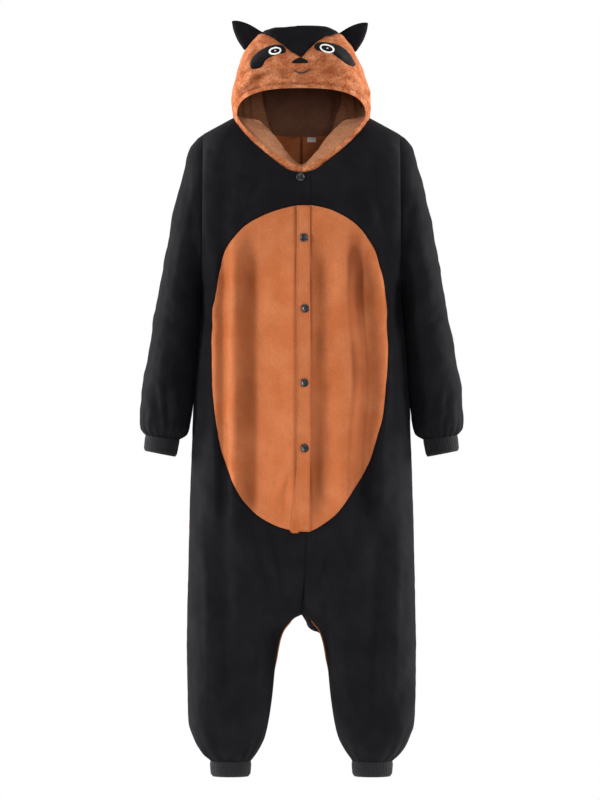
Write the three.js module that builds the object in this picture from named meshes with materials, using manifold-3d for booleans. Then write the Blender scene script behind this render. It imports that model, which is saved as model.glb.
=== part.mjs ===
// Raccoon onesie: a hooded fleece suit in black and orange-brown, filled out and hollow.
// Millimetres, +Z up. The front faces -Y and the viewer's right is +X, which is the wearer's left.
// The origin is on the centre line, level with the nape, inside the neck that the wearer fills.
import * as THREE from "three";
import Module from "manifold-3d";

const wasm = await Module();
wasm.setup();

// Cloth, seams and the distance from which the garment's outline was read
const CLOTH = 2;
const RIB_CLOTH = 2.5;
const LINING_CLOTH = 1;
const SEAM = 0.3;
const VIEW_DISTANCE = 9000;
const VIEW_CENTRE = { x: -3, z: -555 };

// Levels down the body
const UNDERARM_Z = -318;
const CROTCH_TOP_Z = -900;
const CROTCH_Z = -1010;
const LEG_END_Z = -1319.2;
const CUFF_TOP_Z = -1319.5;

const BLACK = { color: 0x1e1b1e, roughness: 0.95, metalness: 0 };
const ORANGE = { color: 0xb5683a, roughness: 0.92, metalness: 0 };
const LINING_BROWN = { color: 0x4a2d24, roughness: 0.9, metalness: 0 };
const LINING_TAN = { color: 0xb5866a, roughness: 0.9, metalness: 0 };
const RIB_BLACK = { color: 0x232225, roughness: 0.9, metalness: 0 };
const WHITE_FELT = { color: 0xe6e2dc, roughness: 0.9, metalness: 0 };
const BLACK_FELT = { color: 0x121113, roughness: 0.85, metalness: 0 };
const BUTTON_BLACK = { color: 0x18171a, roughness: 0.35, metalness: 0 };
const LABEL_WHITE = { color: 0xd8cdc9, roughness: 0.6, metalness: 0 };

// Sections of the trunk, at the height z
const TRUNK = [
  { z: 45, halfWidth: 205, front: 100, back: 92 },
  { z: -80, halfWidth: 205, front: 119, back: 105 },
  { z: -131, halfWidth: 205, front: 127, back: 111 },
  { z: -237, halfWidth: 207, front: 132, back: 116 },
  { z: -318, halfWidth: 210, front: 134, back: 116 },
  { z: -343, halfWidth: 211, front: 134, back: 116 },
  { z: -449, halfWidth: 221, front: 136, back: 116 },
  { z: -555, halfWidth: 228, front: 138, back: 118 },
  { z: -661, halfWidth: 232, front: 139, back: 124 },
  { z: -735, halfWidth: 234.5, front: 138, back: 130 },
  { z: -809, halfWidth: 237, front: 136, back: 130 },
  { z: -900, halfWidth: 239, front: 130, back: 126 },
  { z: -1010, halfWidth: 241.5, front: 122, back: 118 },
];
const TRUNK_ROUNDNESS = 2.35;

// Sections of a leg: how far its inseam and its side seam stand from the centre line, and its half depth
const LEG = [
  { z: -900, inseam: 0, side: 239, halfDepth: 113 },
  { z: -1010, inseam: 0.2, side: 241.5, halfDepth: 109 },
  { z: -1015, inseam: 12, side: 241.6, halfDepth: 108.5 },
  { z: -1026, inseam: 25, side: 241.9, halfDepth: 107 },
  { z: -1044, inseam: 39, side: 242.2, halfDepth: 105 },
  { z: -1070, inseam: 47.6, side: 242.5, halfDepth: 101 },
  { z: -1116, inseam: 55, side: 242, halfDepth: 95 },
  { z: -1180, inseam: 61.4, side: 241, halfDepth: 87 },
  { z: -1238, inseam: 70, side: 239, halfDepth: 79 },
  { z: -1268, inseam: 77, side: 230, halfDepth: 70 },
  { z: -1290, inseam: 87, side: 220, halfDepth: 60 },
  { z: -1306, inseam: 97, side: 208, halfDepth: 50 },
  { z: -1319.2, inseam: 107, side: 193, halfDepth: 37 },
];
const LEG_ROUNDNESS = 2.2;

// How far the front closing wanders from the centre line as the suit hangs
const FRONT_CLOSING = [
  { z: 45, x: 0 },
  { z: -80, x: 0 },
  { z: -220, x: 3 },
  { z: -660, x: 5 },
  { z: -840, x: 9 },
  { z: -930, x: 7 },
  { z: -1010, x: 0 },
];

// The neckline's height at a distance from the centre line, on the front
const FRONT_NECKLINE = [
  { x: 0, z: -80 },
  { x: 25, z: -74 },
  { x: 55, z: -54 },
  { x: 81, z: -34 },
  { x: 110, z: -6 },
  { x: 134, z: 25 },
  { x: 144, z: 42 },
];
const NECK_HALF_WIDTH = 144;
const NECK_SIDE_Z = 42;
const NAPE_Z = 11;

// Rings of a sleeve, armhole to wrist: the outer and the inner edge of its outline, and its half depth
const SLEEVE = [
  { outX: 207, outZ: 8, inX: 210, inZ: -318, halfDepth: 88 },
  { outX: 221, outZ: -3, inX: 211.5, inZ: -319.6, halfDepth: 88 },
  { outX: 235, outZ: -22, inX: 212.1, inZ: -321, halfDepth: 88 },
  { outX: 247, outZ: -62, inX: 212.6, inZ: -322.6, halfDepth: 87 },
  { outX: 264, outZ: -125, inX: 213.2, inZ: -325, halfDepth: 85 },
  { outX: 284, outZ: -225, inX: 213.8, inZ: -330, halfDepth: 82 },
  { outX: 304, outZ: -337, inX: 216.6, inZ: -370, halfDepth: 79 },
  { outX: 323, outZ: -445, inX: 224.2, inZ: -458, halfDepth: 75 },
  { outX: 340, outZ: -548, inX: 231.6, inZ: -562, halfDepth: 71 },
  { outX: 344, outZ: -596, inX: 234.3, inZ: -610, halfDepth: 65 },
  { outX: 342, outZ: -614, inX: 240, inZ: -627, halfDepth: 56 },
  { outX: 336, outZ: -624, inX: 250, inZ: -635, halfDepth: 46 },
  { outX: 329.4, outZ: -630, inX: 258.6, inZ: -639, halfDepth: 35 },
];
const SLEEVE_CUFF = [
  { outX: 329.6, outZ: -630.4, inX: 258.8, inZ: -639.4, halfDepth: 35 },
  { outX: 331, outZ: -637, inX: 259.6, inZ: -646, halfDepth: 35.5 },
  { outX: 332.8, outZ: -657, inX: 264.2, inZ: -669, halfDepth: 34.8 },
  { outX: 330.6, outZ: -662, inX: 267.6, inZ: -674.4, halfDepth: 32 },
];
const SLEEVE_COLUMNS = 24;
const ARMHOLE_ROWS = SLEEVE_COLUMNS / 2;

// Rings of an ankle cuff
const ANKLE_CENTRE_X = 150;
const ANKLE_CUFF = [
  { z: CUFF_TOP_Z, halfWidth: 42, halfDepth: 36 },
  { z: -1326, halfWidth: 43, halfDepth: 36.5 },
  { z: -1345, halfWidth: 41.5, halfDepth: 35 },
  { z: -1351, halfWidth: 37.5, halfDepth: 32 },
];
const CUFF_COLUMNS = 18;

// Sections of the hood at the height z
const HOOD = [
  { z: -90, halfWidth: 144, front: 119, back: 96 },
  { z: 0, halfWidth: 144, front: 130, back: 101 },
  { z: 42, halfWidth: 144, front: 138, back: 112 },
  { z: 64, halfWidth: 146, front: 143, back: 118 },
  { z: 95, halfWidth: 146, front: 148, back: 122 },
  { z: 129, halfWidth: 140, front: 141, back: 120 },
  { z: 161, halfWidth: 129, front: 127, back: 110 },
  { z: 186, halfWidth: 117, front: 109, back: 96 },
  { z: 205, halfWidth: 101, front: 90, back: 81 },
  { z: 222, halfWidth: 82, front: 68, back: 62 },
  { z: 233, halfWidth: 58, front: 44, back: 42 },
  { z: 238, halfWidth: 0, front: 0, back: 0 },
];
const HOOD_TOP_Z = 238;
const HOOD_ROUNDNESS = 2.7;
const HOOD_LEVELS = [0, 0.16, 0.33, 0.5, 0.65, 0.77, 0.87, 0.94, 0.983, 1];
const LINING_INSET = 2.75;

// The face opening: a squarer arch above, a narrowing point below
const OPENING = { halfWidth: 136, middleZ: 44, topZ: 95, bottomZ: -67, archPower: 2.6, pointPower: 1.3 };

// The belly oval: its two edges at the height z
const OVAL = [
  { z: -147, right: 4, left: 6 },
  { z: -149, right: -12, left: 27 },
  { z: -161, right: -59, left: 70 },
  { z: -191, right: -118, left: 118 },
  { z: -217, right: -143, left: 139 },
  { z: -242, right: -160, left: 154 },
  { z: -267, right: -168, left: 162 },
  { z: -316, right: -178, left: 174 },
  { z: -392, right: -187, left: 180 },
  { z: -442, right: -189, left: 182 },
  { z: -518, right: -189, left: 178 },
  { z: -592, right: -180, left: 170 },
  { z: -643, right: -172, left: 156 },
  { z: -693, right: -158, left: 139 },
  { z: -743, right: -137, left: 109 },
  { z: -792, right: -97, left: 74 },
  { z: -818, right: -53, left: 40 },
  { z: -830, right: -12, left: 18 },
];
const PLACKET = { right: -9.8, left: 18.2, topZ: -86, joinZ: -148, endZ: -829 };
const PLACKET_CLOTH = 1.6;

const BUTTON = { radius: 9, thickness: 3.2, rim: 1.8, segments: 14 };
const BUTTONS = [
  { x: -2, z: -89 },
  { x: 5, z: -216 },
  { x: 7.5, z: -364 },
  { x: 6, z: -519 },
  { x: 6.5, z: -655 },
];

// Folds that hang down the cloth: where, from which height to which, how deep, how wide, how far it leans
const FRONT_FOLDS = [
  { x: -165, top: -250, bottom: -640, depth: -5, width: 15, lean: 0.02 },
  { x: -116, top: -230, bottom: -760, depth: -9, width: 17, lean: -0.03 },
  { x: -142, top: -240, bottom: -700, depth: 4, width: 15, lean: -0.02 },
  { x: -62, top: -260, bottom: -790, depth: 4, width: 26, lean: -0.01 },
  { x: 42, top: -300, bottom: -780, depth: -5, width: 15, lean: -0.01 },
  { x: 76, top: -280, bottom: -760, depth: 4, width: 18, lean: 0 },
  { x: 116, top: -300, bottom: -760, depth: -7, width: 17, lean: 0.02 },
  { x: 150, top: -260, bottom: -700, depth: 4, width: 16, lean: 0.02 },
  { x: -70, top: -850, bottom: -1260, depth: -6, width: 22, lean: 0.12 },
  { x: -165, top: -800, bottom: -1290, depth: -6, width: 20, lean: 0.02 },
  { x: -205, top: -700, bottom: -1280, depth: 4, width: 18, lean: 0 },
  { x: 75, top: -850, bottom: -1260, depth: -6, width: 22, lean: -0.14 },
  { x: 160, top: -820, bottom: -1290, depth: -6, width: 20, lean: -0.02 },
  { x: 205, top: -700, bottom: -1280, depth: 4, width: 18, lean: 0 },
  { x: -150, top: -20, bottom: -330, depth: -5, width: 20, lean: -0.08 },
  { x: 152, top: -20, bottom: -330, depth: -5, width: 20, lean: 0.08 },
];
const BACK_FOLDS = [
  { x: -150, top: -120, bottom: -700, depth: -8, width: 22, lean: 0.04 },
  { x: -85, top: -200, bottom: -760, depth: 5, width: 24, lean: 0.02 },
  { x: 90, top: -180, bottom: -740, depth: -7, width: 24, lean: -0.03 },
  { x: 155, top: -140, bottom: -690, depth: 5, width: 22, lean: -0.02 },
  { x: -120, top: -820, bottom: -1270, depth: -7, width: 22, lean: 0.04 },
  { x: 125, top: -820, bottom: -1270, depth: -7, width: 22, lean: -0.04 },
];
const ANKLE_GATHERS = { count: 12, depth: 2.2, from: -1225 };
const WRIST_GATHERS = { count: 6, depth: 2, fromRing: 8 };

const EAR = {
  outline: [
    { x: 96, z: 196 },
    { x: 118, z: 186 },
    { x: 128, z: 198 },
    { x: 138, z: 211 },
    { x: 144, z: 228 },
    { x: 147, z: 244 },
    { x: 140, z: 250 },
    { x: 128, z: 247 },
    { x: 109, z: 239 },
    { x: 92, z: 231 },
    { x: 76, z: 224 },
    { x: 78, z: 206 },
  ],
  centre: { x: 112, z: 217 },
  halfThickness: 9,
  lean: 0.12,
  y: 2,
};

// The face, sewn on in layers: outlines as seen from the front
const EYE_PATCHES = {
  eye_patch_right: [
    { x: -109, z: 157 }, { x: -104, z: 172 }, { x: -88, z: 188 }, { x: -69, z: 197 },
    { x: -53, z: 200 }, { x: -39, z: 197 }, { x: -33, z: 188 }, { x: -35, z: 181 },
    { x: -49, z: 178 }, { x: -65, z: 172 }, { x: -76, z: 165 }, { x: -85, z: 151 },
    { x: -104, z: 147 },
  ],
  eye_patch_left: [
    { x: 115, z: 160 }, { x: 103, z: 182 }, { x: 87, z: 196 }, { x: 68, z: 203 },
    { x: 46, z: 206 }, { x: 32, z: 203 }, { x: 27, z: 195 }, { x: 31, z: 188 },
    { x: 43, z: 184 }, { x: 61, z: 183 }, { x: 80, z: 169 }, { x: 103, z: 155 },
  ],
};
const EYES = [
  { side: "right", x: -56, z: 185.5, halfWidth: 13.5, halfHeight: 8.6 },
  { side: "left", x: 54.5, z: 191, halfWidth: 16, halfHeight: 9.8 },
];
const PUPIL_RADIUS = 6.4;
const NOSE = { x: -3, z: 163, halfWidth: 17.3, halfHeight: 6.2, height: 3.4 };
const CROWN_EDGE = [
  { x: -88, z: 221 },
  { x: -62, z: 212 },
  { x: -44, z: 200 },
  { x: -26, z: 185 },
  { x: 0, z: 170 },
  { x: 12, z: 184 },
  { x: 29, z: 201 },
  { x: 48, z: 213 },
  { x: 88, z: 223 },
];
const CROWN_STRIP = { topHalfWidth: 84, napeHalfWidth: 62 };
const FACE_DEPTH = 128;

// The darker middle strip of the lining narrows towards the nape
const LINING_STRIP = [
  { z: -100, halfWidth: 50 },
  { z: 0, halfWidth: 58 },
  { z: 53, halfWidth: 79 },
  { z: 90, halfWidth: 90 },
  { z: 260, halfWidth: 96 },
];

// The stuffed tail hangs from the seat, leaning to the viewer's right
const TAIL = [
  { x: 2, y: 130.5, z: -778, radius: 26, pitch: 90 },
  { x: 4, y: 146, z: -784, radius: 33, pitch: 72 },
  { x: 9, y: 164, z: -806, radius: 41, pitch: 38 },
  { x: 15, y: 176, z: -840, radius: 47, pitch: 14 },
  { x: 24, y: 180, z: -890, radius: 51, pitch: 2 },
  { x: 33, y: 180, z: -945, radius: 52, pitch: 0 },
  { x: 41, y: 178, z: -995, radius: 49, pitch: -2 },
  { x: 46, y: 176, z: -1030, radius: 39, pitch: -2 },
  { x: 48, y: 175, z: -1050, radius: 25, pitch: -2 },
  { x: 49, y: 175, z: -1060, radius: 0, pitch: -2 },
];
const TAIL_COLUMNS = 14;

const LABEL = { minX: 12.5, maxX: 31, minZ: -3, maxZ: 7.5, cloth: 0.6 };

// The finest detail that a cut leaves
const SPECK = 0.04;

const DENSE_STEPS = 48;
const FRONT_COLUMNS = 14;
const BACK_COLUMNS = 8;
const DOWN = new THREE.Vector3(0, 0, -1);
const UP = new THREE.Vector3(0, 0, 1);

// A smooth value from a table: cubic between rows, with no overshoot
function tableValue(table, key, column, at) {
  const rows = table[0][key] <= table[table.length - 1][key] ? table : [...table].reverse();
  const last = rows.length - 1;
  if (at <= rows[0][key]) return rows[0][column];
  if (at >= rows[last][key]) return rows[last][column];
  let k = 0;
  while (rows[k + 1][key] < at) k += 1;
  const slope = (i) => (rows[i + 1][column] - rows[i][column]) / (rows[i + 1][key] - rows[i][key]);
  const tangent = (i) => {
    if (i <= 0 || i >= last) return slope(Math.min(Math.max(i, 0), last - 1));
    const before = slope(i - 1);
    const after = slope(i);
    return before * after <= 0 ? 0 : (2 * before * after) / (before + after);
  };
  const span = rows[k + 1][key] - rows[k][key];
  const u = (at - rows[k][key]) / span;
  const rise = u * u * (3 - 2 * u);
  return (
    rows[k][column] * (1 - rise) + rows[k + 1][column] * rise +
    span * u * (1 - u) * ((1 - u) * tangent(k) - u * tangent(k + 1))
  );
}

const mix = (a, b, t) => a + (b - a) * t;
const signedPower = (value, power) => Math.sign(value) * Math.abs(value) ** power;
const smooth = (t) => {
  const u = Math.min(Math.max(t, 0), 1);
  return u * u * (3 - 2 * u);
};

// A point of the outline that lies depth nearer the viewer than the centre plane
function nearer(point, depth) {
  const share = 1 - depth / VIEW_DISTANCE;
  return {
    x: VIEW_CENTRE.x + (point.x - VIEW_CENTRE.x) * share,
    z: VIEW_CENTRE.z + (point.z - VIEW_CENTRE.z) * share,
  };
}

// Evenly spaced points along a polyline, starting and ending trimmed by the given lengths
function resample(points, count, trimStart, trimEnd) {
  const run = [0];
  for (let i = 1; i < points.length; i += 1) run.push(run[i - 1] + points[i].distanceTo(points[i - 1]));
  const total = run[run.length - 1];
  const result = [];
  for (let i = 0; i <= count; i += 1) {
    const want = mix(trimStart, total - trimEnd, i / count);
    let k = 1;
    while (k < points.length - 1 && run[k] < want) k += 1;
    const t = (want - run[k - 1]) / (run[k] - run[k - 1]);
    result.push(points[k - 1].clone().lerp(points[k], t));
  }
  return result;
}

// The hood's surface: angle 0 is the front, 180 degrees the back
function hoodPoint(angle, z) {
  const halfWidth = tableValue(HOOD, "z", "halfWidth", z);
  const faces = Math.cos(angle) >= 0 ? "front" : "back";
  const depth = tableValue(HOOD, "z", faces, z);
  const power = 2 / HOOD_ROUNDNESS;
  return new THREE.Vector3(
    halfWidth * signedPower(Math.sin(angle), power),
    -depth * signedPower(Math.cos(angle), power),
    z,
  );
}

// The neckline seam, shared by the hood and the body
function neckPoint(angle) {
  const x = Math.abs(NECK_HALF_WIDTH * signedPower(Math.sin(angle), 2 / HOOD_ROUNDNESS));
  const z = Math.cos(angle) >= 0
    ? tableValue(FRONT_NECKLINE, "x", "z", x)
    : NAPE_Z + (NECK_SIDE_Z - NAPE_Z) * (x / NECK_HALF_WIDTH) ** 2;
  return hoodPoint(angle, z);
}

// Neckline angles at even lengths from the shoulder to the centre, on the front or the back
function neckAngles(count, centre) {
  const angles = [];
  for (let i = 0; i <= DENSE_STEPS; i += 1) angles.push(mix(Math.PI / 2, centre, i / DENSE_STEPS));
  const run = [0];
  for (let i = 1; i < angles.length; i += 1) {
    run.push(run[i - 1] + neckPoint(angles[i]).distanceTo(neckPoint(angles[i - 1])));
  }
  return Array.from({ length: count + 1 }, (unused, i) => {
    const want = (run[DENSE_STEPS] * i) / count;
    let k = 1;
    while (k < DENSE_STEPS && run[k] < want) k += 1;
    return mix(angles[k - 1], angles[k], (want - run[k - 1]) / (run[k] - run[k - 1]));
  });
}

const NECK_ROWS = { front: 4, back: 3 };
const NECK_ANGLES = {
  front: neckAngles(NECK_ROWS.front, 0),
  back: neckAngles(NECK_ROWS.back, Math.PI),
};

// A point of a sleeve's or cuff's ring. Turn 90 degrees is its outer edge, -90 its inner one.
function ringPoint(ring, side, turn, facing) {
  const centreX = (ring.outX + ring.inX) / 2;
  const centreZ = (ring.outZ + ring.inZ) / 2;
  const reach = Math.sin(turn);
  return new THREE.Vector3(
    side * (centreX + ((ring.outX - ring.inX) / 2) * reach),
    facing * ring.halfDepth * Math.cos(turn),
    centreZ + ((ring.outZ - ring.inZ) / 2) * reach,
  );
}

// The direction of the cloth's edge at the armhole, shared by the body and the sleeve
function armholeNormal(side, turn, facing) {
  const under = Math.max(0, -Math.sin(turn));
  return new THREE.Vector3(side * under, facing * Math.cos(turn), Math.sin(turn)).normalize();
}

// Rows of the yoke, between the neckline or the centre line and the armhole
function yokeRow(step, side, facing, name) {
  const t = step / ARMHOLE_ROWS;
  const turn = Math.PI / 2 - Math.PI * t;
  const outer = ringPoint(SLEEVE[0], side, turn, facing);
  const neckRows = NECK_ROWS[name];
  let inner;
  if (step <= neckRows) {
    inner = neckPoint(NECK_ANGLES[name][step]);
    inner.x *= side;
  } else {
    const fall = (step - neckRows) / (ARMHOLE_ROWS - neckRows);
    const z = mix(neckPoint(NECK_ANGLES[name][neckRows]).z, UNDERARM_Z, fall);
    inner = new THREE.Vector3(centreX(z, name), facing * tableValue(TRUNK, "z", name, z), z);
  }
  const roundness = mix(2, TRUNK_ROUNDNESS, t);
  const points = [];
  for (let i = 0; i <= DENSE_STEPS; i += 1) {
    const a = (Math.PI / 2) * (i / DENSE_STEPS);
    const out = Math.sin(a) ** (2 / roundness);
    const ahead = Math.cos(a) ** (2 / roundness);
    points.push(new THREE.Vector3(
      mix(inner.x, outer.x, out),
      mix(outer.y, inner.y, ahead),
      mix(inner.z, outer.z, out),
    ));
  }
  return points;
}

const centreX = (z, name) => (name === "front" ? tableValue(FRONT_CLOSING, "z", "x", z) : 0);

// The height of a rounded arch at a share of its half width
const arch = (share, roundness) => Math.max(0, 1 - share ** roundness) ** (1 / roundness);

// Rows of the trunk, the crotch curve and the leg, at the height z
function lowerRow(z, side, facing, name) {
  const middle = centreX(z, name);
  const trunkSide = tableValue(TRUNK, "z", "halfWidth", z);
  const trunkDepth = tableValue(TRUNK, "z", name, z);
  const inseam = tableValue(LEG, "z", "inseam", z);
  const legSide = tableValue(LEG, "z", "side", z);
  const legDepth = tableValue(LEG, "z", "halfDepth", z);
  const down = (CROTCH_TOP_Z - z) / (CROTCH_TOP_Z - CROTCH_Z);
  const trunkShare = down <= 0 ? 1 : Math.sqrt(Math.max(0, 1 - down * down));
  const points = [];
  for (let i = 0; i <= DENSE_STEPS; i += 1) {
    const across = (1 - Math.cos((Math.PI * i) / DENSE_STEPS)) / 2;
    const trunkY = trunkDepth * arch(across, TRUNK_ROUNDNESS);
    const legY = legDepth * arch(Math.abs(2 * across - 1), LEG_ROUNDNESS);
    const x = mix(mix(inseam, middle * side, trunkShare), mix(legSide, trunkSide, trunkShare), across);
    points.push(new THREE.Vector3(side * x, facing * mix(legY, trunkY, trunkShare), z));
  }
  return points;
}

const TRUNK_LEVELS = [-350, -410, -480, -555, -630, -700, -770, -840, -900];
const CROTCH_LEVELS = [-945, -980, -1002, CROTCH_Z];
const LEG_LEVELS = [-1015, -1026, -1044, -1070, -1116, -1180, -1238, -1270, -1295, LEG_END_Z];

// Folds push the cloth out or in, and die away at their ends, at seams and at the closing
function foldDepth(folds, x, z) {
  let total = 0;
  for (const fold of folds) {
    const along = (fold.top - z) / (fold.top - fold.bottom);
    if (along <= 0 || along >= 1) continue;
    const off = (x - fold.x - fold.lean * (fold.top - z)) / fold.width;
    total += fold.depth * Math.exp(-off * off) * Math.sin(Math.PI * along) ** 0.7;
  }
  return total;
}

// Outer points and normals of one half of the front or the back, shoulder to ankle
function bodyPanel(side, name, centreTrim = SEAM / 2) {
  const facing = name === "front" ? -1 : 1;
  const columns = name === "front" ? FRONT_COLUMNS : BACK_COLUMNS;
  const rows = [];
  const kinds = [];
  for (let step = 0; step <= ARMHOLE_ROWS; step += 1) {
    const onNeckline = step < NECK_ROWS[name];
    rows.push(resample(yokeRow(step, side, facing, name), columns, onNeckline ? 0 : centreTrim, 0));
    kinds.push(onNeckline ? "neck" : "centre");
  }
  for (const z of [...TRUNK_LEVELS, ...CROTCH_LEVELS, ...LEG_LEVELS]) {
    rows.push(resample(lowerRow(z, side, facing, name), columns, centreTrim, SEAM / 2));
    kinds.push(z > CROTCH_Z ? "centre" : z === CROTCH_Z ? "crotch" : "inseam");
  }
  const armholeShift = SEAM * 0.6;
  for (let step = 0; step <= ARMHOLE_ROWS; step += 1) rows[step][columns].x -= side * armholeShift;
  for (const point of rows[0]) point.y += facing * (SEAM / 2);
  rows[ARMHOLE_ROWS][columns].y += facing * (SEAM / 2);
  const normals = gridNormals(rows, false, (point) => new THREE.Vector3(side * 100, 0, point.z));
  const levelled = (row, column, dropX, dropY) => {
    const normal = normals[row][column];
    if (dropX) normal.x = 0;
    if (dropY) normal.y = 0;
    normal.normalize();
  };
  rows.forEach((points, row) => {
    const kind = kinds[row];
    if (kind === "centre") levelled(row, 0, true, false);
    if (kind === "crotch") normals[row][0].copy(DOWN);
    if (kind === "inseam") levelled(row, 0, false, true);
    if (row <= ARMHOLE_ROWS) {
      const turn = Math.PI / 2 - (Math.PI * row) / ARMHOLE_ROWS;
      normals[row][columns].copy(armholeNormal(side, turn, facing));
    } else {
      levelled(row, columns, false, true);
    }
  });
  for (let column = 0; column <= columns; column += 1) levelled(0, column, false, true);
  const folds = name === "front" ? FRONT_FOLDS : BACK_FOLDS;
  rows.forEach((points, row) => {
    points.forEach((point, column) => {
      const across = column / columns;
      const calm = smooth(across / 0.16) * smooth((1 - across) / 0.1) * smooth(row / 3);
      const low = smooth((ANKLE_GATHERS.from - point.z) / (ANKLE_GATHERS.from - LEG_END_Z));
      const last = smooth((point.z - LEG_END_Z) / 4);
      const wave = Math.sin(Math.PI * ANKLE_GATHERS.count * across * 0.5) ** 2;
      const push = calm * foldDepth(folds, point.x, point.z) - low * last * wave * ANKLE_GATHERS.depth;
      point.addScaledVector(normals[row][column], push);
    });
  });
  return { grid: rows, normals };
}

// Unit normals of a grid, pointing away from the inside
function gridNormals(grid, loop, insideAt) {
  const last = grid.length - 1;
  const columns = grid[0].length;
  const normals = grid.map((row, i) => row.map((point, j) => {
    const left = loop ? (j + columns - 1) % columns : Math.max(j - 1, 0);
    const right = loop ? (j + 1) % columns : Math.min(j + 1, columns - 1);
    const across = grid[i][right].clone().sub(grid[i][left]);
    const down = grid[Math.min(i + 1, last)][j].clone().sub(grid[Math.max(i - 1, 0)][j]);
    return across.cross(down).normalize();
  }));
  const i = Math.floor(last / 2);
  const j = Math.floor(columns / 2);
  const outward = grid[i][j].clone().sub(insideAt(grid[i][j])).dot(normals[i][j]) > 0;
  if (!outward) normals.flat().forEach((normal) => normal.negate());
  return normals;
}

// A closed wall of cloth under a grid. Its outer skin lies near, its inner skin far, below the grid's points.
function wall({ grid, normals }, { near = 0, far = CLOTH, loop = false }) {
  const columns = grid[0].length;
  const rows = grid.length;
  const skin = (depth) => grid.flatMap((row, i) => (
    row.map((point, j) => point.clone().addScaledVector(normals[i][j], -depth))
  ));
  const points = [...skin(near), ...skin(far)];
  const at = (layer, i, j) => layer * rows * columns + i * columns + (j % columns);
  const triangles = [];
  const quad = (a, b, c, d) => triangles.push([a, b, c], [a, c, d]);
  const spans = loop ? columns : columns - 1;
  for (let i = 0; i < rows - 1; i += 1) {
    for (let j = 0; j < spans; j += 1) {
      quad(at(0, i, j), at(0, i, j + 1), at(0, i + 1, j + 1), at(0, i + 1, j));
      quad(at(1, i, j), at(1, i + 1, j), at(1, i + 1, j + 1), at(1, i, j + 1));
    }
    if (!loop) {
      quad(at(0, i, 0), at(0, i + 1, 0), at(1, i + 1, 0), at(1, i, 0));
      quad(at(0, i, spans), at(1, i, spans), at(1, i + 1, spans), at(0, i + 1, spans));
    }
  }
  for (let j = 0; j < spans; j += 1) {
    quad(at(0, 0, j), at(1, 0, j), at(1, 0, j + 1), at(0, 0, j + 1));
    quad(at(0, rows - 1, j), at(0, rows - 1, j + 1), at(1, rows - 1, j + 1), at(1, rows - 1, j));
  }
  return solidOf(points, triangles);
}

// A filled body under a grid of closed rings, which ends in a point or a flat cap at each end
function filled(grid) {
  const columns = grid[0].length;
  const points = grid.flat();
  const triangles = [];
  const at = (i, j) => i * columns + (j % columns);
  for (let i = 0; i < grid.length - 1; i += 1) {
    for (let j = 0; j < columns; j += 1) {
      triangles.push([at(i, j), at(i, j + 1), at(i + 1, j + 1)], [at(i, j), at(i + 1, j + 1), at(i + 1, j)]);
    }
  }
  for (const [row, turn] of [[0, true], [grid.length - 1, false]]) {
    const middle = grid[row].reduce((sum, point) => sum.add(point), new THREE.Vector3());
    points.push(middle.divideScalar(columns));
    for (let j = 0; j < columns; j += 1) {
      const ends = turn ? [at(row, j + 1), at(row, j)] : [at(row, j), at(row, j + 1)];
      triangles.push([points.length - 1, ...ends]);
    }
  }
  return solidOf(points, triangles);
}

// A manifold solid from points and triangles: equal points are joined and the faces turned outwards
function solidOf(points, triangles) {
  const grain = 1e4;
  const index = new Map();
  const positions = [];
  const known = points.map((point) => {
    const key = point.toArray().map((value) => Math.round(value * grain)).join(",");
    if (!index.has(key)) {
      index.set(key, positions.length / 3);
      positions.push(point.x, point.y, point.z);
    }
    return index.get(key);
  });
  const faces = triangles
    .map((triangle) => triangle.map((corner) => known[corner]))
    .filter(([a, b, c]) => a !== b && b !== c && c !== a);
  const corner = (k) => new THREE.Vector3().fromArray(positions, 3 * k);
  const volume = faces.reduce((sum, [a, b, c]) => sum + corner(a).dot(corner(b).cross(corner(c))), 0);
  if (volume < 0) faces.forEach((face) => face.reverse());
  return new wasm.Manifold(new wasm.Mesh({
    numProp: 3,
    vertProperties: new Float32Array(positions),
    triVerts: new Uint32Array(faces.flat()),
  }));
}

// A solid from an outline in the XZ plane, pushed along Y
function prism(outline, fromY, toY) {
  const turn = THREE.ShapeUtils.area(outline.map((point) => new THREE.Vector2(point.x, point.z))) < 0;
  const ordered = turn ? [...outline].reverse() : outline;
  const flat = ordered.map((point) => new THREE.Vector2(point.x, point.z));
  const count = flat.length;
  const points = [fromY, toY].flatMap((y) => flat.map((point) => new THREE.Vector3(point.x, y, point.y)));
  const caps = THREE.ShapeUtils.triangulateShape(flat, []);
  const triangles = [
    ...caps,
    ...caps.map(([a, b, c]) => [c + count, b + count, a + count]),
  ];
  for (let i = 0; i < count; i += 1) {
    const next = (i + 1) % count;
    triangles.push([next, i, i + count], [next, i + count, next + count]);
  }
  return solidOf(points, triangles);
}

// An outline pushed outwards by a distance
function grown(outline, distance) {
  const sign = Math.sign(THREE.ShapeUtils.area(outline.map((point) => new THREE.Vector2(point.x, point.z))));
  return outline.map((point, i) => {
    const before = outline[(i + outline.length - 1) % outline.length];
    const after = outline[(i + 1) % outline.length];
    const edge = new THREE.Vector2(after.x - before.x, after.z - before.z).normalize();
    return { x: point.x + sign * edge.y * distance, z: point.z - sign * edge.x * distance };
  });
}

// The largest connected body of a solid, without the specks that a cut may leave
function largest(solid) {
  const parts = solid.decompose();
  return parts.reduce((best, part) => (part.volume() > best.volume() ? part : best)).simplify(SPECK);
}

const group = new THREE.Group();

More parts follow.
